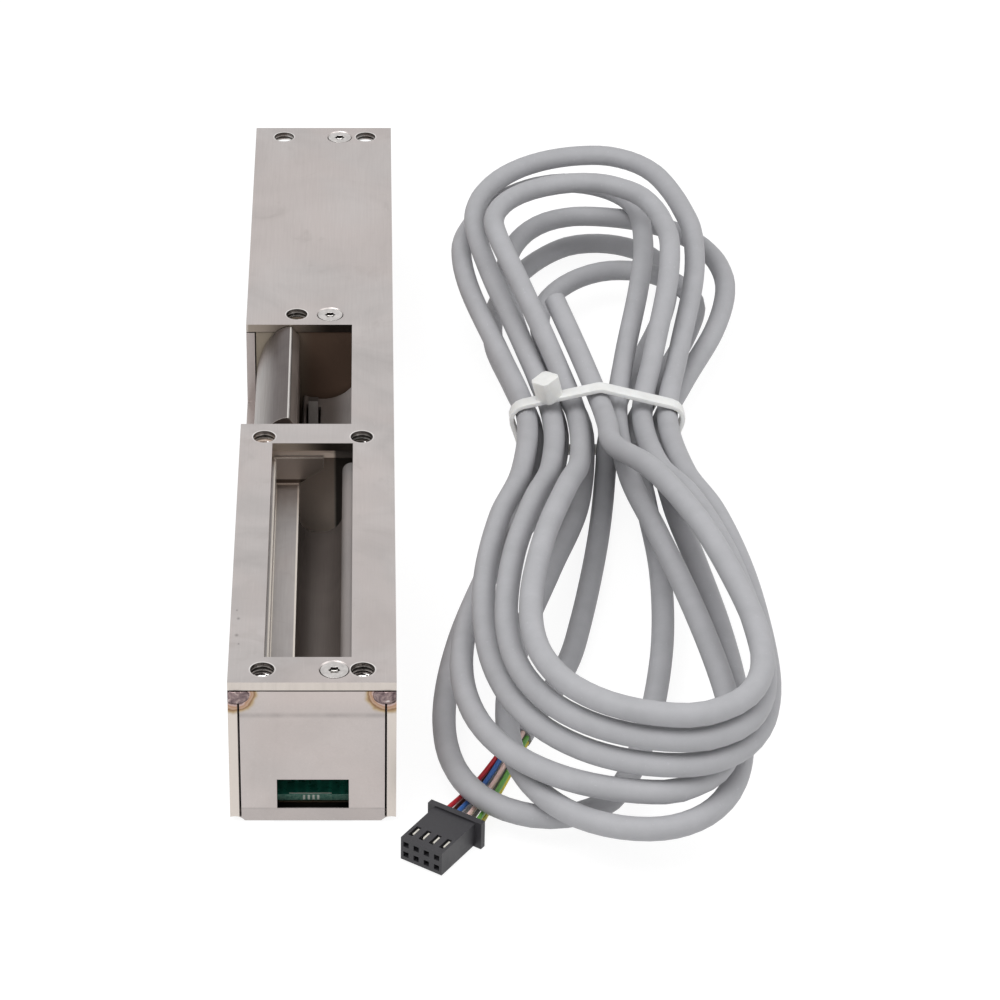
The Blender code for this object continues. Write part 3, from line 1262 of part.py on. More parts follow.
def make_cable_tie():
    """A strap round the waist with its locking head on top."""
    low = CABLE_D / 2 + GAP / 2 + TIE + GAP
    high = low + WAIST_LAYER
    foot = WAIST_STEP * max(column for column, layer in LEFT_SEATS if layer == 0)
    half = WAIST_STEP * max(column for column, layer in LEFT_SEATS)
    crossing = CUT_END_ROUTE[0]
    crest = (crossing[0], crossing[2] + GAP)
    left, right = HANK[0] - half, HANK[0] + half
    centres = [(HANK[0] - foot, low), (HANK[0] + foot, low), (right, high), crest, (left, high)]
    inner = CABLE_D / 2 + GAP / 2 + TIE_SET * GAP
    middle = HANK[1] + TIE_SHIFT
    span = (middle - TIE_WIDTH / 2, middle + TIE_WIDTH / 2)
    tie = Shape().prism(wrapped(centres, inner + TIE), "y", span).made("cable_tie", WHITE_NYLON)
    slope = math.atan2(crest[1] - high, crest[0] - left)
    rise = high + (TIE_HEAD_X + half) * math.tan(slope) + (inner + TIE / 2) / math.cos(slope)
    width, length, height = TIE_HEAD
    outline = []
    for across, along in ((1, 1), (-1, 1), (-1, -1), (1, -1)):
        corner = [
            (across * (width / 2 - TIE_HEAD_CHAMFER), along * length / 2),
            (across * width / 2, along * (length / 2 - TIE_HEAD_CHAMFER)),
        ]
        outline += corner[::-1] if across * along > 0 else corner
    head = Shape().prism(outline, "z", (0, height))
    place = Matrix.Translation(Vector((HANK[0] + TIE_HEAD_X, middle, rise)) * MM)
    turned = Matrix.Rotation(-slope, 4, "Y") @ Matrix.Rotation(math.radians(TIE_HEAD_TURN), 4, "Z")
    join(tie, head.place(place @ turned), "head")
    opening = Shape().prism(wrapped(centres, inner), "y", (span[0] - length, span[1] + length))
    cut(tie, opening, "inside")


def main():
    for thing in list(bpy.data.objects):
        bpy.data.objects.remove(thing)
    make_housing()
    make_face_plate()
    make_plate_screws()
    make_mid_bracket()
    make_latch_bulkhead()
    make_keeper()
    make_latch_trough()
    make_latch_lever()
    make_latch_sensor()
    make_bolt_trough()
    make_bolt_lever()
    make_bolt_sensor()
    make_locking_slide()
    make_solenoid()
    make_electronics()
    make_coil_leads()
    make_plug()
    make_cable()
    make_cores()
    make_cable_tie()


main()
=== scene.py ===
"""Electric door strike: finishes, cable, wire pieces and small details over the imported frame."""

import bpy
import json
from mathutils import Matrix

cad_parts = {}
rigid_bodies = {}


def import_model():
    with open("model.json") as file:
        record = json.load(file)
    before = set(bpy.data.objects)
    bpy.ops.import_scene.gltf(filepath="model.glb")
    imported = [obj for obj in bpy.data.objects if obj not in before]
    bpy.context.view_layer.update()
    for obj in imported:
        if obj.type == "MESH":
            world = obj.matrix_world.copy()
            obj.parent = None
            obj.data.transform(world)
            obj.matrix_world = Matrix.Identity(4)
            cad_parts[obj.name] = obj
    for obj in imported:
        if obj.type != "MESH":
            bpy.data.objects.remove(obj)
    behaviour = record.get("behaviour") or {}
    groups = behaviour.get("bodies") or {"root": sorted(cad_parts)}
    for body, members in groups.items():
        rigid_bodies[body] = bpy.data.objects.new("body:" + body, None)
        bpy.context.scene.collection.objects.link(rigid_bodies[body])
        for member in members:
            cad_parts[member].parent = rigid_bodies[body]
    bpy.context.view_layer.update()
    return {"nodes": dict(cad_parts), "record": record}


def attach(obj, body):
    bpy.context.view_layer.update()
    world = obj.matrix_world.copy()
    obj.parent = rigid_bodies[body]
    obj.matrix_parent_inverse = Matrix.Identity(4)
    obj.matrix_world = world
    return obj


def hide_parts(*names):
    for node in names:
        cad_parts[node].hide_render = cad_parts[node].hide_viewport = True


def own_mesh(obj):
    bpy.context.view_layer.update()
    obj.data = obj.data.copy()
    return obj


bl_info = {
    "name": "Electric Door Strike",
    "version": (1, 0, 0),
    "blender": (4, 5, 0),
    "location": "View3D > Sidebar > Door Strike",
    "description": "Dresses the packed door strike with its finishes, cable and stage",
    "category": "Add Mesh",
}

import json
import math

import bpy
from bpy.props import FloatProperty, FloatVectorProperty, PointerProperty
from mathutils import Matrix, Vector

for leftover in list(bpy.data.objects):
    bpy.data.objects.remove(leftover)
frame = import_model()
NODES = frame["nodes"]
MM = 0.001
# Rounding of the small parts' edges, in metres
SMALL_EDGE = 0.00008

# Box and plate, in millimetres
NEAR_WALL, FAR_WALL = -125.0, 111.0
WALL_X, SHEET = 17.5, 2.0
WELD_TOP = 33.75
WELDS = ((-15.9, 33.3), (15.5, 33.3))
# Height, width and depth of the painted shade along the near wall's bend lines
BEND_LINE_SHADE = ((27.7, 1.0, 0.35), (3.6, 0.35, 0.30))
SLITS_X = 15.4
TAB_TOP = 3.9
FLANGE = (31.7, 33.7)
PLATE_BOTTOM, PLATE_TOP = 34.0, 36.0
SCREW_TOP, SOCKET_DEPTH = 35.9, 0.8
TAPPED_R = 2.1
PLATE_HOLE_R = 2.5
TAPPED_HOLES = (
    (-10.35, -120.3),
    (10.5, -120.3),
    (-12.0, -28.4),
    (10.15, -28.4),
    (-5.5, 27.5),
)
PLATE_HOLES = (*TAPPED_HOLES, (-10.2, 119.9), (10.9, 119.9))
SPECKS = ((-16.2, -98.5, 0.35), (-15.8, -101.6, 0.55), (-16.0, -107.8, 0.6), (-15.5, -111.0, 0.35))

# Middle, half width and top of the connector port, in millimetres
PORT = (-0.1, 8.1, 12.5)

# Keeper's lip (x, z), bolt lever's ledge edges (x) and the crease below its flap (y, z), in millimetres
LIP = (-6.7, 35.6)
LEDGE = (-9.3, -4.05)
CREASE = (-32.7, 26.8)

# Board as seen through the port, in millimetres
BOARD_FRONT, BOARD_TOP = -121.3, 4.5
BOARD_BARS, BAR_WIDTH, BAR_SPAN = (-1.95, -0.95, 0.05, 1.05), 0.48, (3.15, 4.35)
BOARD_LINE = (-5.1, 3.9)

# Springs, winding and leads, in millimetres: axis x and z, radius, wire, span along Y, curls
KEEPER_SPRING = (-12.8, 17.3, 2.15, 0.7, -9.4, 2.6, 9)
LEVER_SPRING = (-12.6, 30.5, 1.55, 0.5, -76.35, -68.65, 7)
SLIDE_SPRING = (0.0, 15.0, 2.6, 0.7, 25.5, 33.3, 6)
WINDING = (0.0, 15.0, 9.9, 0.6, 45.0, 73.8, 48)
LEAD_D = 1.2
LEADS_X = {"red": 12.6, "black": 10.6}
LEAD_STATIONS = ((-42.1, 5.4), (-34.9, 5.4), (-24.8, 3.9), (26.2, 3.9), (36.0, 5.1), (40.8, 5.1))

# Cable, in millimetres: the same route as the solid's
CABLE_D = 5.1
GAP = 0.3
TIE = 1.1
HANK = (67.0, 24.0)
LOOP_POINTS = 36
LEAST_BEND = 3.3
LOBE_DENSITY = 0.1
LOBE_START = 0.8
WAIST_STEP = 6.1
WAIST_LAYER = 5.7
WAIST_SOFTNESS = 0.18
LOOP_RISE = 5.8
# Length, lean, left swell and right swell of each lobe, from the lowest loop
FAR_LOBES = (
    (98.4, 10.2, 46.3, 46.5),
    (73.9, 17.7, 37.7, 50.9),
    (90.2, 1.4, 45.0, 75.1),
    (99.3, 4.9, 65.8, 30.8),
    (102.3, 6.4, 66.7, 45.9),
    (76.3, 4.0, 60.3, 36.8),
)
NEAR_LOBES = (
    (158.0, -13.5, 92.0, 25.7),
    (168.3, 2.9, 81.7, 75.8),
    (163.4, 6.7, 105.2, 64.5),
    (162.0, 10.2, 95.1, 76.5),
    (161.2, 12.4, 100.3, 70.7),
    (160.6, 12.1, 97.2, 68.8),
)
NEAR_POWERS = ((1.3, 1.3), (1.4, 1.8), (1.3, 1.8), (1.5, 1.6), (1.7, 1.6), (1.9, 1.5))
# Column and layer of each pass through the tie
LEFT_SEATS = ((2.5, 0), (0.5, 0), (1.5, 0), (2.8, 1), (1.8, 1), (0.8, 1))
RIGHT_SEATS = ((0.5, 0), (1.5, 0), (2.5, 0), (0.8, 1), (2.8, 1), (1.8, 1), (0.0, 1.62))
LEAD_ROUTE = ((44.5, -98.7), (47.5, -91.2), (56.6, -68.5), (65.1, -21.6))
CUT_END_ROUTE = ((67.6, 23.0, 14.0), (63.0, 39.5, 18.6), (57.6, 54.0, 25.0))
CUT_END_LEAVES = 1

# Cores and plug, in millimetres
CORE_D = 1.1
CORE_RING_R = 1.8
CORE_MID_STEP = 1.7
CORE_MID_Z = (0.85, 2.2)
CORE_DROP = 0.3
CORE_COLOURS = ("brown", "white", "grey", "yellow", "red", "blue", "pink", "green")
PLUG_PLACE, PLUG_TURN = (22.6, -141.1), -34.4
PLUG_LENGTH, PLUG_HEIGHT, PLUG_RIM_HEIGHT = 14.0, 5.6, 0.55
PITCH, PIN_COLUMNS = 2.54, 4
TERMINAL_REAR = 12.0

# Heat tint round a weld: share of the way out, colour
HEAT_TINT = (
    (0.0, (0.13, 0.095, 0.105)),
    (0.18, (0.22, 0.15, 0.15)),
    (0.28, (0.52, 0.39, 0.36)),
    (0.40, (0.40, 0.24, 0.16)),
    (0.52, (0.47, 0.33, 0.24)),
    (0.62, (0.25, 0.145, 0.08)),
    (0.76, (0.44, 0.33, 0.20)),
    (1.0, (0.50, 0.455, 0.42)),
)
# Painted shade and glints on the wall of a hole in the plate, from its foot to its rim
HOLE_WALL_SHADE_AND_GLINTS = (
    (0.10, (0.74, 0.72, 0.70)),
    (0.26, (0.05, 0.045, 0.04)),
    (0.44, (0.06, 0.054, 0.05)),
    (0.53, (0.62, 0.60, 0.58)),
    (0.64, (0.20, 0.18, 0.17)),
    (1.0, (0.09, 0.08, 0.072)),
)
BEAD_SKIN = (
    (0.30, (0.085, 0.06, 0.065)),
    (0.48, (0.21, 0.155, 0.16)),
    (0.60, (0.34, 0.26, 0.25)),
    (0.70, (0.72, 0.66, 0.64)),
)
# Painted highlight on the holes' rims
HOLE_RIM_HIGHLIGHT = (0.92, 0.90, 0.88)
# Painted shade on the screw sockets' walls and a painted glint on their floors
SOCKET_WALL_SHADE, SOCKET_FLOOR_GLINT = (0.05, 0.045, 0.04), (0.96, 0.94, 0.92)
# Lighter colour for the lever's edges, partly wear and partly painted highlight; painted shade deep in the
# troughs; the bracket's lit colour; the bulkhead's lit colour and painted shade
LEVER_EDGE_WEAR_AND_HIGHLIGHT = (0.70, 0.65, 0.59)
TROUGH_SHADE = (0.145, 0.122, 0.110)
BRACKET_FACE = (0.74, 0.61, 0.52)
BULKHEAD_FACE, BULKHEAD_SHADE = (0.27, 0.235, 0.18), (0.125, 0.080, 0.056)


class StrikeColours(bpy.types.PropertyGroup):
    """Colours of the strike's finishes."""

    sheet: FloatVectorProperty(
        name="Sheet", description="Sheet of the box and plate", subtype="COLOR", default=(0.478, 0.446, 0.436)
    )
    cut_edge: FloatVectorProperty(
        name="Cut edge", description="Cut edges of the sheet", subtype="COLOR", default=(0.600, 0.548, 0.505)
    )
    # Painted shade of the sheet deep in the openings
    shade: FloatVectorProperty(
        name="Shade", description="Dull sheet in the openings", subtype="COLOR", default=(0.066, 0.055, 0.048)
    )
    keeper: FloatVectorProperty(
        name="Keeper", description="Swinging keeper", subtype="COLOR", default=(0.305, 0.281, 0.266)
    )
    bright: FloatVectorProperty(
        name="Bright steel", description="Screws and pins", subtype="COLOR", default=(0.58, 0.555, 0.54)
    )
    jacket: FloatVectorProperty(
        name="Jacket", description="Cable jacket", subtype="COLOR", default=(0.415, 0.415, 0.432)
    )
    nylon: FloatVectorProperty(
        name="Nylon", description="Cable tie", subtype="COLOR", default=(0.83, 0.83, 0.81)
    )
    plug: FloatVectorProperty(
        name="Plug", description="Plug moulding", subtype="COLOR", default=(0.026, 0.025, 0.029)
    )
    board: FloatVectorProperty(
        name="Board", description="Solder mask of the board", subtype="COLOR", default=(0.008, 0.125, 0.085)
    )


class StrikeSizes(bpy.types.PropertyGroup):
    """Sizes of the dressing's details."""

    edge: FloatProperty(
        name="Sheet edge", description="Rounding of cut edges", default=0.00016, unit="LENGTH", precision=5
    )
    cable_spacing: FloatProperty(
        name="Cable spacing", description="Step of its points", default=0.003, unit="LENGTH", precision=4
    )
    weld_radius: FloatProperty(
        name="Weld radius", description="Radius of a weld bead", default=0.0029, unit="LENGTH", precision=5
    )
    weld_rise: FloatProperty(
        name="Weld rise", description="Height of a weld bead", default=0.0004, unit="LENGTH", precision=5
    )
    thread_pitch: FloatProperty(
        name="Thread pitch", description="Pitch of the threads", default=0.0007, unit="LENGTH", precision=5
    )


class StrikeStage(bpy.types.PropertyGroup):
    """Camera and light."""

    camera_place: FloatVectorProperty(
        name="Camera place", description="Camera position", default=(0.0117, -0.7765, 0.4970), subtype="XYZ"
    )
    camera_tilt: FloatProperty(
        name="Camera tilt", description="Turn about X", default=math.radians(57.42), subtype="ANGLE"
    )
    lens: FloatProperty(name="Lens", description="Focal length in millimetres", default=139.2)
    shift: FloatProperty(name="Shift", description="Sideways lens shift", default=0.1314)
    key_power: FloatProperty(name="Key power", description="Main lamp in watts", default=6.5)
    fill_power: FloatProperty(name="Fill power", description="Fill lamp in watts", default=2.5)
    ambient: FloatProperty(name="Ambient", description="Light from all round", default=0.44)


class Finish:
    """A node material built step by step on one Principled shader."""

    def __init__(self, name, roughness=0.5, metallic=0.0):
        self.material = bpy.data.materials.new(name)
        self.material.use_nodes = True
        self.tree = self.material.node_tree
        self.shader = self.tree.nodes["Principled BSDF"]
        self.shader.inputs["Roughness"].default_value = roughness
        self.shader.inputs["Metallic"].default_value = metallic
        self.coordinates = self.add("ShaderNodeTexCoord").outputs
        self.place = self.coordinates["Object"]
        self.colour = self.clouds = self.grain = None

    def add(self, kind, inputs=(), **settings):
        """A node with its settings, and values or sockets on its inputs."""
        node = self.tree.nodes.new(kind)
        for name, value in settings.items():
            setattr(node, name, value)
        for key, value in dict(inputs).items():
            self.put(node.inputs[key], value)
        return node

    def put(self, socket, value):
        if isinstance(value, bpy.types.NodeSocket):
            self.tree.links.new(value, socket)
        elif socket.type == "RGBA" and len(value) == 3:
            socket.default_value = (*value, 1.0)
        else:
            socket.default_value = value

    def set(self, **inputs):
        """Puts values or sockets on the shader; underscores stand for spaces."""
        for name, value in inputs.items():
            self.put(self.shader.inputs[name.replace("_", " ")], value)

    def stretched(self, scale, turn=0.0):
        """Place with its own scale along each axis, turned about Z."""
        inputs = {"Vector": self.place, "Rotation": (0, 0, math.radians(turn)), "Scale": scale}
        return self.add("ShaderNodeMapping", inputs).outputs["Vector"]

    def noise(self, scale, detail=3.0, roughness=0.5, place=None, distortion=0.0):
        inputs = {"Vector": place or self.place, "Scale": scale, "Detail": detail}
        inputs |= {"Roughness": roughness, "Distortion": distortion}
        return self.add("ShaderNodeTexNoise", inputs).outputs["Fac"]

    def spread(self, value, low, high, to_low=0.0, to_high=1.0):
        """Maps a value from one span to another, with soft ends."""
        inputs = {"Value": value, "From Min": low, "From Max": high, "To Min": to_low, "To Max": to_high}
        return self.add("ShaderNodeMapRange", inputs, interpolation_type="SMOOTHSTEP").outputs["Result"]

    def fade(self, value, low, high, share=1.0):
        """A share up to the low value, nothing past the high one."""
        return self.spread(value, low, high, share, 0.0)

    def ramp(self, value, stops):
        node = self.add("ShaderNodeValToRGB", {"Fac": value})
        elements = node.color_ramp.elements
        while len(elements) < len(stops):
            elements.new(1.0)
        for element, (position, colour) in zip(elements, stops):
            element.position = position
            element.color = (*colour, 1.0)
        return node.outputs["Color"]

    def varied(self, value, base, low, high, span=(0.3, 0.7)):
        """A colour from darker to lighter."""
        return self.ramp(value, ((span[0], scaled(base, low)), (span[1], scaled(base, high))))

    def math(self, operation, first, second=0.0):
        return self.add("ShaderNodeMath", {0: first, 1: second}, operation=operation).outputs["Value"]

    def times(self, first, *others):
        for other in others:
            first = self.math("MULTIPLY", first, other)
        return first

    def mixed(self, share, first, second):
        return self.add("ShaderNodeMix", {0: share, 6: first, 7: second}, data_type="RGBA").outputs[2]

    def coat(self, share, colour):
        """Lays a share of a colour over what is there."""
        self.colour = self.mixed(share, self.colour, colour)

    def split(self, vector, axis):
        return self.add("ShaderNodeSeparateXYZ", {"Vector": vector}).outputs[axis]

    def part(self, axis):
        """One coordinate of the place, in metres."""
        return self.split(self.place, axis)

    def within(self, axis, low, high, to_low=0.0, to_high=1.0):
        """Maps a span of one coordinate, in millimetres."""
        return self.spread(self.part(axis), low * MM, high * MM, to_low, to_high)

    def aside(self, axis, centre=0.0):
        """Distance along one axis from a plane, in metres."""
        return self.math("ABSOLUTE", self.math("SUBTRACT", self.part(axis), centre * MM))

    def facing(self, axis):
        """How squarely the surface faces along an axis, either way."""
        return self.math("ABSOLUTE", self.split(self.coordinates["Normal"], axis))

    def vectors(self, operation, *values):
        return self.add("ShaderNodeVectorMath", enumerate(values), operation=operation).outputs

    def edge_wear_and_highlight(self, radius, share):
        """Up to a share along the edges, nothing on open faces; used for edge wear and painted edge
        highlights.
        """
        rounded = self.add("ShaderNodeBevel", {"Radius": radius}, samples=6).outputs["Normal"]
        flat = self.add("ShaderNodeNewGeometry").outputs["Normal"]
        return self.fade(self.vectors("DOT_PRODUCT", rounded, flat)["Value"], 0.90, 0.995, share)

    def distance(self, centre, weights=(1.0, 1.0, 1.0)):
        """Distance from a point in metres, weighted along each axis."""
        away = self.vectors("SUBTRACT", self.place, centre)["Vector"]
        return self.vectors("LENGTH", self.vectors("MULTIPLY", away, weights)["Vector"])["Value"]

    def bump(self, height, depth, strength=1.0):
        inputs = {"Height": height, "Distance": depth, "Strength": strength}
        self.set(Normal=self.add("ShaderNodeBump", inputs).outputs["Normal"])


def scaled(colour, share):
    return tuple(channel * share for channel in colour)


def tinted(colour, tint, share):
    return tuple(a + (b - a) * share for a, b in zip(colour, tint))


def lay_sheet(finish, base, contrast=1.0):
    """Rolled stainless: cloudy patches, pinkish smudges, a faint grain and a few scratches."""
    finish.clouds = finish.noise(42.0, 4.0, 0.6, distortion=0.8)
    patches = ((0.28, 1 - 0.15 * contrast), (0.50, 1.0), (0.70, 1 + 0.10 * contrast))
    finish.colour = finish.ramp(finish.clouds, [(stop, scaled(base, share)) for stop, share in patches])
    warm = finish.spread(finish.noise(19.0, 2.0, 0.5, distortion=1.5), 0.42, 0.68, 0.0, 0.5 * contrast)
    finish.coat(warm, tinted(base, (0.62, 0.47, 0.42), 0.22))
    smudge = finish.spread(finish.noise(95.0, 4.0, 0.65, distortion=1.2), 0.54, 0.78, 0.0, 0.36 * contrast)
    finish.coat(smudge, tinted(scaled(base, 0.78), (0.36, 0.28, 0.22), 0.18))
    finish.grain = finish.noise(1.0, 2.0, 0.5, finish.stretched((2600.0, 90.0, 2600.0)))
    finish.coat(finish.spread(finish.grain, 0.3, 0.8, 0.0, 0.045), scaled(base, 0.70))
    for turn, low in ((14.0, 0.70), (-31.0, 0.72)):
        scratch = finish.noise(1.0, 1.0, 0.5, finish.stretched((1500.0, 110.0, 1500.0), turn))
        finish.coat(finish.spread(scratch, low, low + 0.03, 0.0, 0.10), scaled(base, 1.35))


def sheet_surface(finish, roughness):
    unevenness = finish.math("ADD", finish.clouds, finish.grain)
    gloss = finish.spread(unevenness, 0.6, 1.4, roughness - 0.06, roughness + 0.10)
    finish.set(Base_Color=finish.colour, Roughness=gloss)
    finish.bump(finish.grain, 0.000008, 0.4)
    return finish.material


def sheet_finish(name, base, contrast=1.0, roughness=0.34):
    """Plain stainless sheet with bright edges, partly wear and partly painted highlight."""
    finish = Finish(name, roughness, 1.0)
    lay_sheet(finish, base, contrast)
    # Lighter edges, partly wear and partly painted highlight
    finish.coat(finish.edge_wear_and_highlight(0.0003, 0.6), scaled(base, 1.45))
    return sheet_surface(finish, roughness)


def plate_finish(name, base, edge, shade):
    """The face plate: cloudy face, a few pits by one side, pale outer edges, painted shade on the inner
    edges, and painted shade, glints and rim highlights in the holes.
    """
    finish = Finish(name, 0.36, 1.0)
    lay_sheet(finish, base)
    for x, y, size in SPECKS:
        away = finish.distance((x * MM, y * MM, PLATE_TOP * MM), (1.0, 0.7, 0.5))
        finish.coat(finish.fade(away, 0.0, size * MM, 0.55), scaled(base, 0.25))
    lines = finish.noise(1.0, 3.0, 0.6, finish.stretched((900.0, 900.0, 90.0)))
    pale = finish.ramp(lines, ((0.32, scaled(edge, 0.95)), (0.50, edge), (0.70, scaled(edge, 1.03))))
    # Painted shade on the cut edges inside the openings, running from brown to near black along X
    brown = tinted(edge, (0.30, 0.24, 0.18), 0.6)
    dim = finish.mixed(finish.within("X", -6.0, 3.0), scaled(brown, 0.9), scaled(shade, 0.9))
    inside = finish.fade(finish.aside("X"), (WALL_X - 0.6) * MM, (WALL_X - 0.3) * MM)
    along = finish.fade(finish.aside("Y"), (-NEAR_WALL - 0.9) * MM, (-NEAR_WALL - 0.6) * MM)
    upright = finish.fade(finish.facing("Z"), 0.30, 0.75)
    finish.coat(upright, finish.mixed(finish.times(inside, along), pale, dim))
    # Painted shade and glints down each hole's wall, and a painted highlight on its rim, stronger on the far
    # side
    height = finish.math("SUBTRACT", finish.part("Z"), PLATE_BOTTOM * MM)
    wall = finish.ramp(finish.times(height, 1 / (SHEET * MM)), HOLE_WALL_SHADE_AND_GLINTS)
    for x, y in PLATE_HOLES:
        away = finish.distance((x * MM, y * MM, PLATE_TOP * MM), (1.0, 1.0, 0.0))
        rim = finish.fade(away, PLATE_HOLE_R * MM, (PLATE_HOLE_R + 0.45) * MM)
        rim = finish.times(rim, finish.within("Y", y - 2.0, y + 1.5, 0.35, 1.0))
        finish.coat(rim, HOLE_RIM_HIGHLIGHT)
        bore = finish.fade(away, (PLATE_HOLE_R + 0.02) * MM, (PLATE_HOLE_R + 0.10) * MM)
        finish.coat(bore, wall)
    return sheet_surface(finish, 0.36)


def box_finish(name, base, edge, shade):
    """The folded box: temper colours round the welds, a painted highlight below the near wall's top bend,
    painted shade along its bend lines, pale cut edges, and painted shade inside and in the port.
    """
    finish = Finish(name, 0.36, 1.0)
    lay_sheet(finish, tinted(base, (0.54, 0.485, 0.465), 0.5), 0.7)
    near = finish.within("Y", NEAR_WALL + 0.1, NEAR_WALL + 0.5, 1.0, 0.0)
    # A pale pinkish painted highlight along the near wall below its top bend
    bend_highlight = finish.times(near, finish.within("Z", 28.5, 33.0, 0.0, 0.30))
    finish.coat(bend_highlight, (0.62, 0.54, 0.51))
    # Painted shade along the near wall's bend lines, broken up by noise
    blur = finish.spread(finish.noise(300.0, 3.0, 0.6), 0.3, 0.7, 0.55, 1.0)
    for height, width, depth in BEND_LINE_SHADE:
        line = finish.fade(finish.aside("Z", height), 0.0, width * MM, depth)
        finish.coat(finish.times(line, blur, near), scaled(base, 0.35))
    tab = finish.times(finish.within("Z", TAB_TOP, TAB_TOP - 0.6, 0.0, 0.22), near)
    finish.coat(tab, scaled(base, 0.45))
    strip = finish.spread(finish.aside("X"), SLITS_X * MM, (SLITS_X + 0.15) * MM)
    finish.coat(finish.times(strip, near), scaled(edge, 1.06))
    ragged = finish.spread(finish.noise(650.0, 2.0), 0.2, 0.8, -0.00022, 0.00022)
    for x, z in WELDS:
        away = finish.distance((x * MM, NEAR_WALL * MM, z * MM), (1.0, 0.6, 0.9))
        away = finish.math("SUBTRACT", finish.math("ADD", away, ragged), 0.0020)
        share = finish.times(away, 1 / 0.0030)
        finish.coat(finish.fade(share, 0.70, 1.05), finish.ramp(share, HEAT_TINT))
    # Painted shade on the inner faces of the box
    inside = finish.fade(finish.aside("X"), (WALL_X - SHEET - 0.15) * MM, (WALL_X - SHEET) * MM)
    for axis, low, high in (
        ("Y", NEAR_WALL + SHEET - 0.1, NEAR_WALL + SHEET + 0.1),
        ("Y", FAR_WALL - 0.4, FAR_WALL - 0.6),
        ("Z", FLANGE[0] - 0.1, FLANGE[0] - 0.3),
    ):
        inside = finish.times(inside, finish.within(axis, low, high))
    finish.coat(inside, scaled(shade, 0.5))
    # Painted shade on the walls of the connector port
    middle, half, top = PORT
    port = finish.fade(finish.aside("X", middle), half * MM, (half + 0.3) * MM)
    for axis, low, high in (
        ("Y", NEAR_WALL + 0.15, NEAR_WALL + 0.3),
        ("Y", NEAR_WALL + 3.0, NEAR_WALL + 2.5),
        ("Z", top, top - 0.5),
    ):
        port = finish.times(port, finish.within(axis, low, high))
    finish.coat(port, scaled(shade, 0.2))
    return sheet_surface(finish, 0.36)


def shaded_finish(name, light, shade, axis, low, high, metallic=0.45, roughness=0.5):
    """Sheet that runs from its lit colour to a painted shade along an axis, in millimetres."""
    finish = Finish(name, roughness, metallic)
    lay_sheet(finish, light)
    # Painted shade, taking over along the axis
    shaded_colour = finish.varied(finish.clouds, shade, 0.85, 1.15)
    finish.coat(finish.within(axis, low, high), shaded_colour)
    return sheet_surface(finish, roughness)


def keeper_finish(name, base):
    """Keeper: pale at the hinge side, with painted shade deepening and warming towards the lip, a painted
    highlight along the lip and painted shade past it.
    """
    finish = Finish(name, 0.42, 1.0)
    lay_sheet(finish, base, 1.1)
    # Painted shade, deepening and warming across the ramp towards the lip
    dark = finish.ramp(finish.clouds, ((0.3, (0.105, 0.088, 0.085)), (0.7, (0.150, 0.130, 0.125))))
    finish.coat(finish.within("X", -14.4, -9.6, 0.0, 0.95), dark)
    # Painted shade on the face past the lip
    finish.coat(finish.within("X", LIP[0] + 0.2, LIP[0] + 0.6), (0.26, 0.215, 0.19))
    # Painted highlight along the lip
    lip = finish.distance((LIP[0] * MM, 0, LIP[1] * MM), (1.0, 0.0, 1.0))
    finish.coat(finish.fade(lip, 0.0002, 0.0004), (0.66, 0.635, 0.61))
    # Lighter edges, partly wear and partly painted highlight
    finish.coat(finish.edge_wear_and_highlight(0.00035, 0.7), scaled(base, 1.8))
    return sheet_surface(finish, 0.42)


def lever_finish(name, base):
    """Bolt lever: a duller ledge, bright edges that are partly wear and partly painted highlight, a brownish
    far flap, and painted shade in the crease below it.
    """
    finish = Finish(name, 0.40, 1.0)
    lay_sheet(finish, scaled(base, 0.75), 1.2)
    finish.coat(finish.within("Y", -36.0, -33.0, 0.0, 0.6), (0.30, 0.235, 0.19))
    # Painted highlights along the ledge's edges, ahead of the crease
    ahead = finish.within("Y", CREASE[0] - 1.0, CREASE[0] - 0.4, 0.9, 0.0)
    for x in LEDGE:
        line = finish.fade(finish.aside("X", x - 0.1), 0.00022, 0.00038)
        finish.coat(finish.times(line, ahead), LEVER_EDGE_WEAR_AND_HIGHLIGHT)
    # Lighter edges, partly wear and partly painted highlight
    finish.coat(finish.edge_wear_and_highlight(0.0004, 0.9), LEVER_EDGE_WEAR_AND_HIGHLIGHT)
    # Painted shade in the crease below the flap
    crease = finish.distance((0, CREASE[0] * MM, CREASE[1] * MM), (0.0, 1.0, 1.0))
    finish.coat(finish.fade(crease, 0.0003, 0.0007), (0.07, 0.055, 0.045))
    return sheet_surface(finish, 0.40)


def bead_finish(name):
    """Weld bead: dark purple-grey skin with bright spatter."""
    finish = Finish(name, 0.30, 1.0)
    patches = finish.noise(520.0, 4.0, 0.65, distortion=0.8)
    finish.set(
        Base_Color=finish.ramp(patches, BEAD_SKIN), Roughness=finish.spread(patches, 0.3, 0.7, 0.40, 0.22)
    )
    finish.bump(finish.noise(900.0, 3.0, 0.6), 0.00012, 0.8)
    return finish.material


def plain_metal(name, base, roughness):
    """Turned or drawn metal with fine scratches."""
    finish = Finish(name, roughness, 1.0)
    marks = finish.noise(700.0, 3.0, 0.6)
    finish.set(
        Base_Color=finish.varied(marks, base, 0.82, 1.08),
        Roughness=finish.spread(marks, 0.3, 0.7, roughness - 0.05, roughness + 0.08),
    )
    finish.bump(finish.noise(2600.0, 2.0), 0.000015, 0.4)
    return finish.material


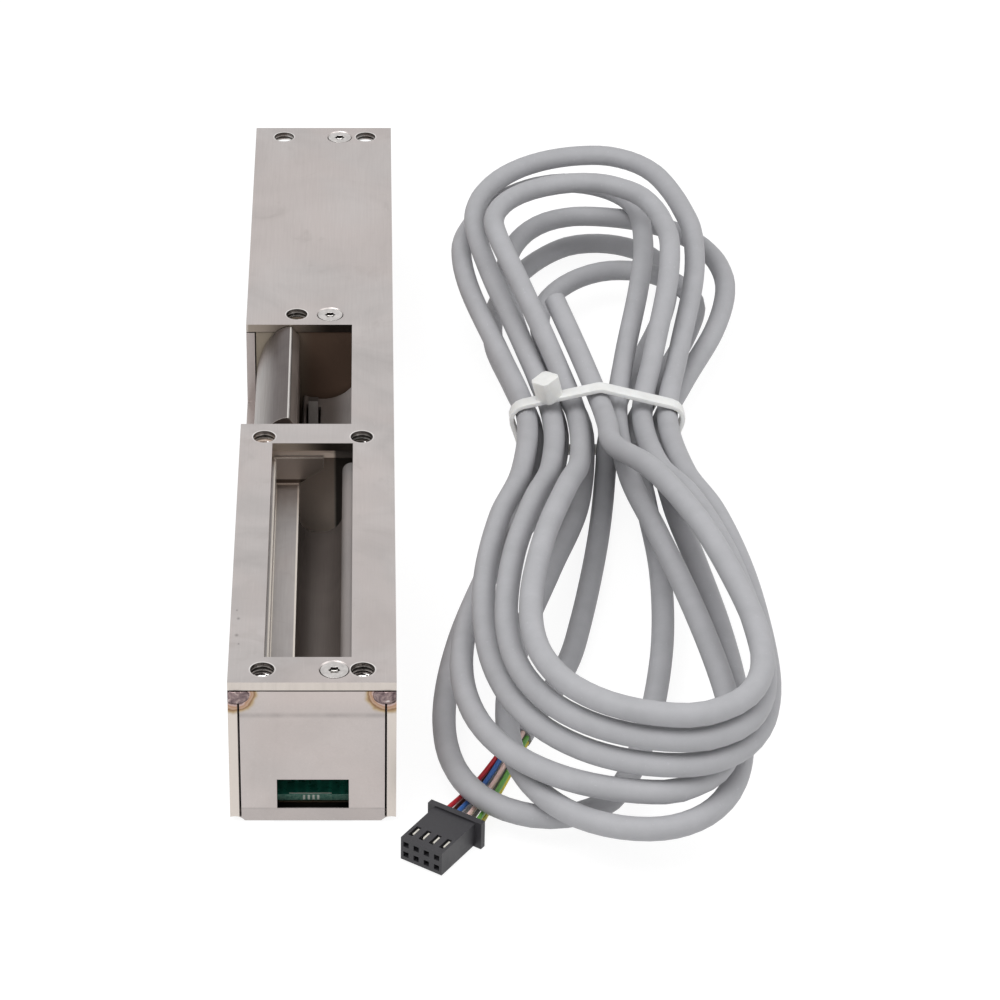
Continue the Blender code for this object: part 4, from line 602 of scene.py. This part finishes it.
def screw_finish(name, base):
    """Bright screw head with painted shade on the socket walls and a painted glint on the socket floor."""
    finish = Finish(name, 0.24, 1.0)
    marks = finish.noise(700.0, 3.0, 0.6)
    head = finish.varied(marks, base, 0.82, 1.10)
    deep = SCREW_TOP - SOCKET_DEPTH
    # Painted shade on the socket walls, painted glint on its floor
    socket = finish.mixed(finish.within("Z", deep + 0.05, deep - 0.05), SOCKET_WALL_SHADE, SOCKET_FLOOR_GLINT)
    within = finish.within("Z", SCREW_TOP - 0.05, SCREW_TOP - 0.15)
    within = finish.times(within, finish.within("Z", SCREW_TOP - 3.0, SCREW_TOP - 2.5))
    finish.set(
        Base_Color=finish.mixed(within, head, socket),
        Roughness=finish.spread(marks, 0.3, 0.7, 0.18, 0.30),
    )
    finish.bump(finish.noise(2600.0, 2.0), 0.000015, 0.4)
    return finish.material


def moulding(name, base, roughness, grain=2200.0, depth=0.00002):
    """Moulded plastic with a fine texture."""
    finish = Finish(name, roughness)
    texture = finish.noise(grain, 2.0, 0.6)
    patches = finish.noise(160.0, 3.0, 0.6)
    colour = finish.varied(patches, base, 0.86, 1.14)
    finish.set(
        Base_Color=finish.mixed(finish.spread(texture, 0.45, 0.8, 0.0, 0.25), colour, scaled(base, 1.5)),
        Roughness=finish.spread(patches, 0.3, 0.7, roughness - 0.06, roughness + 0.06),
    )
    finish.bump(texture, depth, 0.6)
    return finish.material


def jacket_finish(name, base):
    """Matt cable jacket with faint dust and a satin bloom."""
    finish = Finish(name, 0.58)
    dust = finish.noise(120.0, 4.0, 0.65)
    specks = finish.spread(finish.noise(1500.0, 1.0), 0.70, 0.78)
    colour = finish.varied(dust, base, 0.94, 1.06, (0.32, 0.68))
    finish.set(
        Base_Color=finish.mixed(finish.times(specks, 0.25), colour, scaled(base, 1.4)),
        Roughness=finish.spread(dust, 0.3, 0.7, 0.52, 0.66),
        Specular_IOR_Level=0.35,
    )
    finish.bump(finish.noise(1800.0, 2.0), 0.00002, 0.35)
    return finish.material


def nylon_finish(name, base):
    """Natural nylon, a little see-through."""
    finish = Finish(name, 0.38)
    cloud = finish.noise(260.0, 3.0)
    finish.set(
        Base_Color=finish.varied(cloud, base, 0.94, 1.06),
        Roughness=finish.spread(cloud, 0.3, 0.7, 0.32, 0.46),
        Subsurface_Weight=0.5,
        Subsurface_Radius=(0.0025, 0.0024, 0.0022),
        Subsurface_Scale=1.0,
    )
    finish.bump(finish.noise(900.0, 2.0), 0.00002, 0.4)
    return finish.material


def board_finish(name, base):
    """Green solder mask with fine tracks under it and a pale glass edge."""
    finish = Finish(name, 0.30)
    wave = {"Vector": finish.place, "Scale": 130.0, "Distortion": 2.5, "Detail Scale": 60.0}
    tracks = finish.add("ShaderNodeTexWave", wave, wave_type="BANDS", bands_direction="X")
    line = finish.spread(tracks.outputs["Fac"], 0.72, 0.82)
    weave = finish.noise(800.0, 2.0)
    colour = finish.varied(weave, base, 0.8, 1.2)
    colour = finish.mixed(finish.times(line, 0.5), colour, scaled(base, 1.9))
    glass = ((0.35, (0.07, 0.22, 0.17)), (0.65, (0.22, 0.40, 0.32)))
    glass = finish.ramp(finish.noise(1500.0, 3.0, 0.7), glass)
    finish.set(
        Base_Color=finish.mixed(finish.fade(finish.facing("Z"), 0.3, 0.7), colour, glass),
        Coat_Weight=0.4,
        Roughness=finish.spread(weave, 0.3, 0.7, 0.26, 0.36),
    )
    finish.bump(line, 0.00003, 0.5)
    return finish.material


INSULATION = {
    "white": (0.74, 0.74, 0.72),
    "brown": (0.15, 0.055, 0.03),
    "green": (0.12, 0.34, 0.06),
    "yellow": (0.72, 0.60, 0.04),
    "grey": (0.25, 0.25, 0.26),
    "pink": (0.74, 0.52, 0.47),
    "blue": (0.04, 0.13, 0.40),
    "red": (0.50, 0.018, 0.03),
    "black": (0.03, 0.03, 0.033),
}


def made_once(name, maker, *values):
    """The material of that name, made the first time it is asked for."""
    return bpy.data.materials.get(name) or maker(name, *values)


def finish_for(slot):
    """Material for one of the record's slots."""
    colours = bpy.context.scene.strike_colours
    if slot.endswith("_insulation"):
        return made_once(slot + "_skin", moulding, INSULATION[slot.split("_")[0]], 0.42)
    makers = {
        "stainless_sheet": ("stainless_sheet_skin", sheet_finish, tuple(colours.sheet)),
        "keeper_steel": ("keeper_stainless", keeper_finish, tuple(colours.keeper)),
        "bright_steel": ("bright_turned_steel", plain_metal, tuple(colours.bright), 0.24),
        "spring_steel": ("drawn_spring_wire", plain_metal, (0.40, 0.39, 0.38), 0.28),
        "magnet_steel": ("zinc_plated_iron", plain_metal, (0.46, 0.45, 0.42), 0.36),
        "copper_wire": ("enamelled_copper", plain_metal, (0.58, 0.25, 0.11), 0.32),
        "gold_plate": ("contact_plating", plain_metal, (0.72, 0.69, 0.62), 0.22),
        "black_plastic": ("black_moulding", moulding, (0.030, 0.030, 0.033), 0.48),
        "connector_plastic": ("plug_moulding", moulding, tuple(colours.plug), 0.46),
        "button_plastic": ("button_moulding", moulding, (0.60, 0.55, 0.45), 0.45),
        "nylon": ("natural_nylon", nylon_finish, tuple(colours.nylon)),
        "circuit_board": ("green_solder_mask", board_finish, tuple(colours.board)),
        "amber_foil": ("amber_film", moulding, (0.05, 0.03, 0.012), 0.40),
        "grey_jacket": ("grey_cable_jacket", jacket_finish, tuple(colours.jacket)),
    }
    return made_once(*makers[slot])


SLOT_OF = {entry["node"]: entry["material_slot"] for entry in frame["record"]["subparts"]}


def dress(name, material=None, edge=None, angle=35.0):
    """Gives a CAD node its finish and softly rounded edges."""
    node = NODES[name]
    node.data.materials.clear()
    node.data.materials.append(material or finish_for(SLOT_OF[name]))
    for polygon in node.data.polygons:
        polygon.use_smooth = True
    width = bpy.context.scene.strike_sizes.edge if edge is None else edge
    bend = math.radians(angle)
    for label, kind, settings in (
        ("weld", "WELD", {"merge_threshold": 1e-6}),
        ("flat_faces", "DECIMATE", {"decimate_type": "DISSOLVE", "angle_limit": math.radians(0.6)}),
        ("edges", "BEVEL", {"width": width, "segments": 2, "limit_method": "ANGLE", "angle_limit": bend}),
        ("normals", "WEIGHTED_NORMAL", {"keep_sharp": False, "weight": 60}),
    ):
        modifier = node.modifiers.new(label, kind)
        for setting, value in settings.items():
            setattr(modifier, setting, value)
    return node


def own(thing, body, slot, replaces=(), material=None):
    """Puts a piece in the scene, on its body."""
    bpy.context.scene.collection.objects.link(thing)
    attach(thing, body)
    thing.data.materials.append(material or finish_for(slot))
    if replaces:
        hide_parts(*replaces)
    return thing


def mesh_piece(name, vertices, faces, smooth=True):
    mesh = bpy.data.meshes.new(name)
    mesh.from_pydata(vertices, [], faces)
    mesh.update()
    for polygon in mesh.polygons:
        polygon.use_smooth = smooth
    return bpy.data.objects.new(name, mesh)


def wire_piece(name, points, diameter, sides=6):
    """A round wire along points in millimetres."""
    curve = bpy.data.curves.new(name, "CURVE")
    curve.dimensions = "3D"
    curve.bevel_depth = 1.0
    curve.bevel_resolution = sides
    curve.use_fill_caps = True
    spline = curve.splines.new("POLY")
    spline.points.add(len(points) - 1)
    for point, place in zip(spline.points, points):
        point.co = (*(Vector(place) * MM), 1.0)
        point.radius = diameter / 2 * MM
    spline.use_smooth = True
    return bpy.data.objects.new(name, curve)


def tube_piece(name, points, diameter, sides=6):
    """The same round wire as a mesh."""
    curve = wire_piece(name + "_path", points, diameter, sides)
    mesh = bpy.data.meshes.new_from_object(curve)
    mesh.name = name
    bpy.data.objects.remove(curve)
    return bpy.data.objects.new(name, mesh)


def helix(x, z, radius, wire, start, stop, curls, points_per_curl=24):
    """Curls about a line along Y, with a straight lead at each end, in millimetres."""
    count = curls * points_per_curl
    points = []
    for i in range(count + 1):
        angle = 2 * math.pi * i / points_per_curl
        along = start + (stop - start) * i / count
        points.append(Vector((x + radius * math.cos(angle), along, z + radius * math.sin(angle))))
    first = points[0] - (points[1] - points[0]).normalized() * wire
    last = points[-1] + (points[-1] - points[-2]).normalized() * wire
    return [first, *points, last]


def loft_faces(first, corners, sections):
    """Faces round a run of sections with as many corners each, closed at both ends."""
    last = first + corners * (sections - 1)
    faces = [tuple(reversed(range(first, first + corners))), tuple(range(last, last + corners))]
    for low in range(first, last, corners):
        for corner in range(corners):
            after = (corner + 1) % corners
            faces.append((low + corner, low + after, low + corners + after, low + corners + corner))
    return faces


def box_faces(vertices, faces, low, high):
    """Adds a box to a mesh in the making, in millimetres."""
    first = len(vertices)
    for x in (low[0], high[0]):
        for y in (low[1], high[1]):
            for z in (low[2], high[2]):
                vertices.append((x * MM, y * MM, z * MM))
    for face in ((0, 1, 3, 2), (4, 6, 7, 5), (0, 4, 5, 1), (2, 3, 7, 6), (0, 2, 6, 4), (1, 5, 7, 3)):
        faces.append(tuple(first + corner for corner in face))


def smooth_route(stations, spacing):
    """Points every so often along a smooth curve through the stations."""
    points = [Vector(s) for s in stations]
    points = [2 * points[0] - points[1], *points, 2 * points[-1] - points[-2]]
    route = []
    for a, b, c, d in zip(points, points[1:], points[2:], points[3:]):
        steps = max(1, round((c - b).length / spacing))
        for i in range(steps):
            t = i / steps
            bent = (2 * a - 5 * b + 4 * c - d) * t**2 + (3 * b - a - 3 * c + d) * t**3
            route.append(0.5 * (2 * b + (c - a) * t + bent))
    route.append(points[-2])
    return route


def eased(share):
    share = min(1.0, max(0.0, share))
    return share * share * (3 - 2 * share)


def hank_point(share):
    """Middle of the cable after some turns, in millimetres."""
    turn = share + LOBE_DENSITY * math.sin(4 * math.pi * share) / (2 * math.pi)
    sine = math.sin(2 * math.pi * turn)
    cosine = math.cos(2 * math.pi * turn)
    fold = math.pi / 2 * eased(abs(sine) / LOBE_START)
    loop = min(int(turn), len(FAR_LOBES) - 1)
    right = 1 if cosine >= 0 else 0
    column, layer = RIGHT_SEATS[round(turn)] if right else LEFT_SEATS[loop]
    length, lean, *swells = FAR_LOBES[loop] if sine > 0 else NEAR_LOBES[loop]
    power = 1.0 if sine > 0 else NEAR_POWERS[loop][right]
    bulge = math.hypot(sine, WAIST_SOFTNESS) - WAIST_SOFTNESS
    drawn_in = WAIST_STEP * column * math.cos(math.pi / 2 * eased(abs(sine))) * (1 if right else -1)
    across = cosine * swells[right] * bulge**power + lean * sine**2 * bulge + drawn_in
    rise = LOOP_RISE * turn * math.sin(fold) + (WAIST_LAYER * layer + TIE + GAP) * math.cos(fold)
    return (HANK[0] + across, HANK[1] + length * sine, CABLE_D / 2 + GAP / 2 + rise)


def bend_radius(a, b, c):
    """Radius of the circle through three points."""
    twice_area = (b - a).cross(c - a).length
    return (b - a).length * (c - b).length * (c - a).length / max(2 * twice_area, 1e-9)


def eased_bends(points, least):
    """Draws tight bends in, a little at a time, until none is tighter than the least radius."""
    points = [Vector(p) for p in points]
    for _ in range(300):
        tight = [i for i in range(1, len(points) - 1) if bend_radius(*points[i - 1 : i + 2]) < least]
        drawn = {i: points[i].lerp((points[i - 1] + points[i + 1]) / 2, 0.1) for i in tight}
        for i, place in drawn.items():
            points[i] = place
    return points


def cable_route():
    """The lead, the loops and the cut end, in millimetres, as one smooth run."""
    last = len(FAR_LOBES) * LOOP_POINTS - CUT_END_LEAVES
    loops = eased_bends([hank_point(i / LOOP_POINTS) for i in range(last + 1)], LEAST_BEND * CABLE_D)
    floor = CABLE_D / 2 + GAP / 2
    lead = smooth_route([*[(x, y, floor) for x, y in LEAD_ROUTE], loops[0]], 3 * CABLE_D)
    end = smooth_route([loops[-1], *CUT_END_ROUTE], 3 * CABLE_D)
    spacing = bpy.context.scene.strike_sizes.cable_spacing / MM
    return smooth_route([*lead[:-1], *loops, *end[1:]], spacing)


def plug_matrix():
    place = Vector((*PLUG_PLACE, 0))
    return Matrix.Translation(place) @ Matrix.Rotation(math.radians(PLUG_TURN), 4, "Z")


def tongue_faces(vertices, faces, x):
    """Adds a contact's springy tongue, seen in the plug's top slot, to a mesh in the making."""
    row = PLUG_RIM_HEIGHT + PLUG_HEIGHT / 2 + PITCH / 2 + 0.4
    top = PLUG_RIM_HEIGHT + PLUG_HEIGHT - 0.1
    matrix = plug_matrix()
    faces.extend(loft_faces(len(vertices), 4, 4))
    for y, z in ((1.9, row), (2.5, top), (4.5, top), (4.8, row)):
        for side, drop in ((0.05, 0.0), (0.45, 0.0), (0.45, 0.2), (0.05, 0.2)):
            vertices.append((matrix @ Vector((x + side, y, z - drop))) * MM)


def core_routes():
    """Name and route of each core, from the plug's ways to the jacket's end."""
    floor = CABLE_D / 2 + GAP / 2
    jacket = Vector((*LEAD_ROUTE[0], floor))
    heading = (jacket - Vector((*LEAD_ROUTE[1], floor))).normalized()
    across = heading.cross(Vector((0, 0, 1)))
    matrix = plug_matrix()
    plug_rear = matrix @ Vector((0, PLUG_LENGTH, 0))
    middle = (plug_rear + jacket) / 2
    side = -(jacket - plug_rear).normalized().cross(Vector((0, 0, -1)))
    for number, colour in enumerate(CORE_COLOURS):
        row = number // PIN_COLUMNS
        column = number % PIN_COLUMNS - (PIN_COLUMNS - 1) / 2
        angle = math.radians(90 - 45 * column)
        ring = Vector((0, 0, CORE_RING_R * math.sin(angle) * (1 if row else -1)))
        ring -= across * CORE_RING_R * math.cos(angle)
        z = PLUG_RIM_HEIGHT + PLUG_HEIGHT / 2 + (row - 0.5) * PITCH
        x, drop = column * PITCH, CORE_DROP * row
        near = [(x, TERMINAL_REAR + GAP, z), (x, PLUG_LENGTH + CORE_D, z - drop)]
        near = [matrix @ Vector(place) for place in near]
        flat = middle + side * column * CORE_MID_STEP
        flat.z = CORE_MID_Z[row]
        far = [jacket + heading * reach + ring for reach in (2 * CORE_D, GAP)]
        yield "core_" + colour, smooth_route([*near, flat, *far], 1.0)


class STRIKE_OT_stage(bpy.types.Operator):
    """Floor, world, lamps and the camera at the photograph's angle."""

    bl_idname = "strike.stage"
    bl_label = "Stage"

    def execute(self, context):
        settings = context.scene.strike_stage
        context.scene.view_settings.view_transform = "Standard"

        camera = bpy.data.objects.new("camera", bpy.data.cameras.new("camera"))
        context.scene.collection.objects.link(camera)
        camera.location = settings.camera_place
        camera.rotation_euler = (settings.camera_tilt, 0, 0)
        camera.data.lens = settings.lens
        camera.data.sensor_width = 36.0
        camera.data.shift_x = settings.shift
        context.scene.camera = camera

        for name, place, size, power in (
            ("key", (-0.30, -0.30, 0.95), 0.8, settings.key_power),
            ("fill", (0.65, -0.25, 0.75), 0.7, settings.fill_power),
        ):
            lamp = bpy.data.objects.new(name, bpy.data.lights.new(name, "AREA"))
            context.scene.collection.objects.link(lamp)
            lamp.data.energy = power
            lamp.data.size = size
            lamp.location = place
            aim = Vector((0.03, 0.0, 0.02)) - Vector(place)
            lamp.rotation_euler = aim.to_track_quat("-Z", "Y").to_euler()

        self.light_world(context.scene, settings.ambient)
        self.lay_floor()
        return {"FINISHED"}

    def light_world(self, scene, ambient):
        """White where the camera, a gloss or a clear piece looks, and softer as light."""
        scene.world = bpy.data.worlds.new("studio")
        tree = empty_tree(scene.world)
        light = grey_shader(tree, "ShaderNodeBackground", 1.0, ambient)
        seen = grey_shader(tree, "ShaderNodeBackground", 1.0, 1.0)
        show_apart(tree, light, seen, "ShaderNodeOutputWorld")

    def lay_floor(self):
        """A pale floor that keeps a faint shadow."""
        size = 3.0
        corners = [(-size, -size, 0), (size, -size, 0), (size, size, 0), (-size, size, 0)]
        floor = mesh_piece("floor", corners, [(0, 1, 2, 3)])
        bpy.context.scene.collection.objects.link(floor)
        floor.location.z = -0.0001
        material = bpy.data.materials.new("pale_floor")
        tree = empty_tree(material)
        matt = grey_shader(tree, "ShaderNodeBsdfDiffuse", 0.85)
        both = tree.nodes.new("ShaderNodeAddShader")
        tree.links.new(grey_shader(tree, "ShaderNodeBsdfDiffuse", 0.18), both.inputs[0])
        tree.links.new(grey_shader(tree, "ShaderNodeEmission", 1.0, 0.9), both.inputs[1])
        show_apart(tree, matt, both.outputs[0], "ShaderNodeOutputMaterial")
        floor.data.materials.append(material)


def empty_tree(holder):
    holder.use_nodes = True
    holder.node_tree.nodes.clear()
    return holder.node_tree


def grey_shader(tree, kind, grey, strength=None):
    node = tree.nodes.new(kind)
    node.inputs["Color"].default_value = (grey, grey, grey, 1)
    if strength is not None:
        node.inputs["Strength"].default_value = strength
    return node.outputs[0]


def show_apart(tree, light, seen, output):
    """Shows one shader to camera, glossy and transmission rays, and lights with another."""
    path = tree.nodes.new("ShaderNodeLightPath").outputs
    share = path["Is Camera Ray"]
    for name in ("Is Glossy Ray", "Is Transmission Ray"):
        most = tree.nodes.new("ShaderNodeMath")
        most.operation = "MAXIMUM"
        tree.links.new(share, most.inputs[0])
        tree.links.new(path[name], most.inputs[1])
        share = most.outputs[0]
    mix = tree.nodes.new("ShaderNodeMixShader")
    for socket, source in zip(mix.inputs, (share, light, seen)):
        tree.links.new(source, socket)
    tree.links.new(mix.outputs[0], tree.nodes.new(output).inputs["Surface"])


class STRIKE_OT_cable(bpy.types.Operator):
    """The bundled cable with its cores, tie and plug."""

    bl_idname = "strike.cable"
    bl_label = "Cable"

    def execute(self, context):
        route = cable_route()
        cable = own(wire_piece("cable", route, CABLE_D, 8), "base", "grey_jacket", ["cable_hank"])
        for name, points in core_routes():
            slot = name.split("_")[1] + "_insulation"
            own(wire_piece(name + "_wire", points, CORE_D, 4), "base", slot, [name])
        terminals = [dress(f"terminal_{i + 1}", edge=0.00005) for i in range(8)]
        plug = dress("connector_housing", edge=0.00018)
        vertices, faces = [], []
        for column in range(PIN_COLUMNS):
            tongue_faces(vertices, faces, (column - (PIN_COLUMNS - 1) / 2) * PITCH)
        tongues = own(mesh_piece("terminal_tongues", vertices, faces, False), "base", "gold_plate")
        tie = dress("cable_tie", edge=0.0005, angle=40.0)
        length = sum((b - a).length for a, b in zip(route, route[1:])) * MM
        return {"FINISHED"}


class STRIKE_OT_sheet_metal(bpy.types.Operator):
    """Finishes of the box, plate, brackets and troughs."""

    bl_idname = "strike.sheet_metal"
    bl_label = "Sheet metal"

    def execute(self, context):
        colours = context.scene.strike_colours
        sheet, edge, shade = tuple(colours.sheet), tuple(colours.cut_edge), tuple(colours.shade)
        dress("housing", box_finish("welded_box_stainless", sheet, edge, shade))
        dress("face_plate", plate_finish("face_plate_stainless", sheet, edge, shade), 0.00022)
        # Each runs from its lit colour to a painted shade along one axis
        for node, *finish in (
            ("bolt_trough", "bolt_trough_skin", scaled(sheet, 0.50), TROUGH_SHADE, "Z", 31.9, 26.0),
            ("latch_trough", "latch_trough_skin", sheet, TROUGH_SHADE, "X", 9.5, 2.5),
            ("mid_bracket", "mid_bracket_skin", BRACKET_FACE, shade, "X", 3.6, 4.4, 0.1, 0.55),
            ("latch_bulkhead", "bulkhead_skin", BULKHEAD_FACE, BULKHEAD_SHADE, "X", -9.5, -1.0),
        ):
            dress(node, shaded_finish(*finish))
        for name in ("lever_pin_bracket", "latch_sensor_bracket", "bolt_switch_bracket"):
            dress(name, None, 0.0001)
        return {"FINISHED"}


class STRIKE_OT_welds(bpy.types.Operator):
    """Weld beads at the near end's upper corners."""

    bl_idname = "strike.welds"
    bl_label = "Weld beads"

    def execute(self, context):
        sizes = context.scene.strike_sizes
        radius, rise = sizes.weld_radius / MM, sizes.weld_rise / MM
        spokes, rings = 32, 7
        vertices, faces = [], []
        for x, z in WELDS:
            first = len(vertices)
            outline = []
            for spoke in range(spokes):
                angle = 2 * math.pi * spoke / spokes
                across, up = math.cos(angle), math.sin(angle)
                reach = radius * (1 + 0.06 * math.sin(3 * angle + x))
                if across * x > 0:
                    reach = min(reach, (WALL_X - 0.05 - abs(x)) / abs(across))
                if up > 0:
                    reach = min(reach, (WELD_TOP - z) / up)
                outline.append((across * reach, up * reach))
            for ring in range(1, rings + 1):
                for across, up in outline:
                    dx, dz = across * ring / rings, up * ring / rings
                    height = rise * max(0.0, 1 - math.hypot(dx, dz) ** 2 / radius**2)
                    height += 0.12 * rise * math.sin(4.2 * math.hypot(dx - 1.0, dz + 1.0))
                    vertices.append((x + dx, NEAR_WALL - max(0.02, height), z + dz))
            vertices.extend((x + across, NEAR_WALL + 0.1, z + up) for across, up in outline)
            front, back = len(vertices), len(vertices) + 1
            vertices.extend([(x, NEAR_WALL - rise, z), (x, NEAR_WALL + 0.1, z)])
            for spoke in range(spokes):
                after = (spoke + 1) % spokes
                faces.append((front, first + spoke, first + after))
                faces.append((back, first + rings * spokes + after, first + rings * spokes + spoke))
                for ring in range(rings):
                    low, high = first + ring * spokes, first + (ring + 1) * spokes
                    faces.append((low + spoke, high + spoke, high + after, low + after))
        piece = mesh_piece("weld_beads", [Vector(v) * MM for v in vertices], faces)
        own(piece, "base", "stainless_sheet", material=bead_finish("weld_bead_skin"))
        return {"FINISHED"}


class STRIKE_OT_threads(bpy.types.Operator):
    """Cut threads in the tapped fixing holes."""

    bl_idname = "strike.threads"
    bl_label = "Threads"

    def execute(self, context):
        pitch = context.scene.strike_sizes.thread_pitch / MM
        depth, steps = 0.34, 28
        low, high = FLANGE[0] + 0.3 * pitch, FLANGE[1] - 0.3 * pitch
        count = round((high - low) / pitch * steps)
        vertices, faces = [], []
        for x, y in TAPPED_HOLES:
            faces.extend(loft_faces(len(vertices), 3, count + 1))
            for i in range(count + 1):
                angle = 2 * math.pi * i / steps
                z = low + (high - low) * i / count
                taper = min(1.0, i / 6, (count - i) / 6)
                root, crest = TAPPED_R + 0.08, TAPPED_R - depth * taper
                for radius, rise in ((root, 0.46), (crest, 0.0), (root, -0.46)):
                    side = z + rise * pitch * max(taper, 0.15)
                    place = (x + radius * math.cos(angle), y + radius * math.sin(angle), side)
                    vertices.append(Vector(place) * MM)
        skin = plain_metal("cut_thread_steel", (0.86, 0.84, 0.82), 0.18)
        own(mesh_piece("fixing_threads", vertices, faces, False), "base", "bright_steel", material=skin)
        return {"FINISHED"}


class STRIKE_OT_keeper(bpy.types.Operator):
    """The keeper, the two sensing levers, their pins and springs."""

    bl_idname = "strike.keeper"
    bl_label = "Keeper and levers"

    def execute(self, context):
        colours = context.scene.strike_colours
        dress("keeper", edge=0.0003)
        dress("bolt_lever", lever_finish("bolt_lever_stainless", tuple(colours.sheet)), 0.0002)
        # The latch lever runs from a lit colour to a painted shade lower down
        shade = scaled(tuple(colours.shade), 0.8)
        dark = shaded_finish("latch_lever_skin", (0.10, 0.088, 0.076), shade, "Z", 25.0, 18.0)
        dress("latch_lever", dark, 0.00015)
        for name in ("keeper_pin", "latch_lever_pin", "bolt_lever_pin"):
            dress(name, edge=0.0001)
        for node, values in (("keeper_spring", KEEPER_SPRING), ("bolt_lever_spring", LEVER_SPRING)):
            own(wire_piece(node + "_wire", helix(*values), values[3], 3), "base", "spring_steel", [node])
        return {"FINISHED"}


class STRIKE_OT_screws(bpy.types.Operator):
    """Plate screws."""

    bl_idname = "strike.screws"
    bl_label = "Screws"

    def execute(self, context):
        bright = screw_finish("screw_steel", tuple(context.scene.strike_colours.bright))
        for name in ("plate_screw_near", "plate_screw_mid", "plate_screw_far"):
            dress(name, bright, 0.0001)
        return {"FINISHED"}


class STRIKE_OT_drive(bpy.types.Operator):
    """Solenoid, locking slide and switches inside the box."""

    bl_idname = "strike.drive"
    bl_label = "Drive"

    def execute(self, context):
        switches = ("latch_switch", "latch_switch_button", "bolt_switch", "bolt_switch_button")
        solenoid = ("solenoid_frame", "coil_bobbin", "pole_piece", "plunger")
        for name in ("locking_slide", "slide_guide", *solenoid, *switches):
            dress(name, edge=SMALL_EDGE)
        spring = tube_piece("slide_spring_wire", helix(*SLIDE_SPRING), SLIDE_SPRING[3], 3)
        own(spring, "base", "spring_steel", ["slide_spring"])
        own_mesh(spring)
        turns = wire_piece("wound_turns", helix(*WINDING, 20), WINDING[3], 2)
        own(turns, "base", "copper_wire", ["coil_winding"])
        return {"FINISHED"}


class STRIKE_OT_electronics(bpy.types.Operator):
    """Circuit board with its printed marks, parts and coil leads."""

    bl_idname = "strike.electronics"
    bl_label = "Electronics"
    # """Circuit board with pale marks on its front edge, its parts and coil leads."""

    def execute(self, context):
        for name in ("circuit_board", "insulating_sheet", "pin_header", "capacitor", "relay"):
            dress(name, edge=SMALL_EDGE)
        # Pale bars and a pale line on the board's front edge
        vertices, faces = [], []
        for x in BOARD_BARS:
            low = (x - BAR_WIDTH / 2, BOARD_FRONT - 0.04, BAR_SPAN[0])
            box_faces(vertices, faces, low, (x + BAR_WIDTH / 2, BOARD_FRONT + 0.1, BAR_SPAN[1]))
        low = (BOARD_LINE[0], BOARD_FRONT + 0.25, BOARD_TOP - 0.1)
        box_faces(vertices, faces, low, (BOARD_LINE[1], BOARD_FRONT + 0.5, BOARD_TOP + 0.04))
        pale_marks_skin = moulding("pale_board_marks", (0.78, 0.82, 0.74), 0.4, 150.0, 0.000005)
        own(mesh_piece("board_marks", vertices, faces, False), "base", "gold_plate", material=pale_marks_skin)
        for colour, x in LEADS_X.items():
            route = smooth_route([(x, y, z) for y, z in LEAD_STATIONS], 2.0)
            node = "coil_lead_" + colour
            own(wire_piece(node + "_wire", route, LEAD_D, 4), "base", colour + "_insulation", [node])
        return {"FINISHED"}


OPERATORS = (
    STRIKE_OT_stage,
    STRIKE_OT_cable,
    STRIKE_OT_sheet_metal,
    STRIKE_OT_welds,
    STRIKE_OT_threads,
    STRIKE_OT_keeper,
    STRIKE_OT_screws,
    STRIKE_OT_drive,
    STRIKE_OT_electronics,
)


class STRIKE_PT_panel(bpy.types.Panel):
    """Lists the operators in the sidebar."""

    bl_idname = "STRIKE_PT_panel"
    bl_label = "Door Strike"
    bl_space_type = "VIEW_3D"
    bl_region_type = "UI"
    bl_category = "Door Strike"

    def draw(self, context):
        for operator in OPERATORS:
            self.layout.operator(operator.bl_idname)


GROUPS = {"strike_colours": StrikeColours, "strike_sizes": StrikeSizes, "strike_stage": StrikeStage}
CLASSES = (*GROUPS.values(), *OPERATORS, STRIKE_PT_panel)


def register():
    for item in CLASSES:
        bpy.utils.register_class(item)
    for name, group in GROUPS.items():
        setattr(bpy.types.Scene, name, PointerProperty(type=group))


def unregister():
    for name in GROUPS:
        delattr(bpy.types.Scene, name)
    for item in reversed(CLASSES):
        bpy.utils.unregister_class(item)


def main():
    register()
    bpy.ops.strike.stage()
    bpy.ops.strike.cable()
    bpy.ops.strike.sheet_metal()
    bpy.ops.strike.welds()
    bpy.ops.strike.threads()
    bpy.ops.strike.keeper()
    bpy.ops.strike.screws()
    bpy.ops.strike.drive()
    bpy.ops.strike.electronics()
    bpy.context.view_layer.update()


if __name__ == "__main__":
    main()
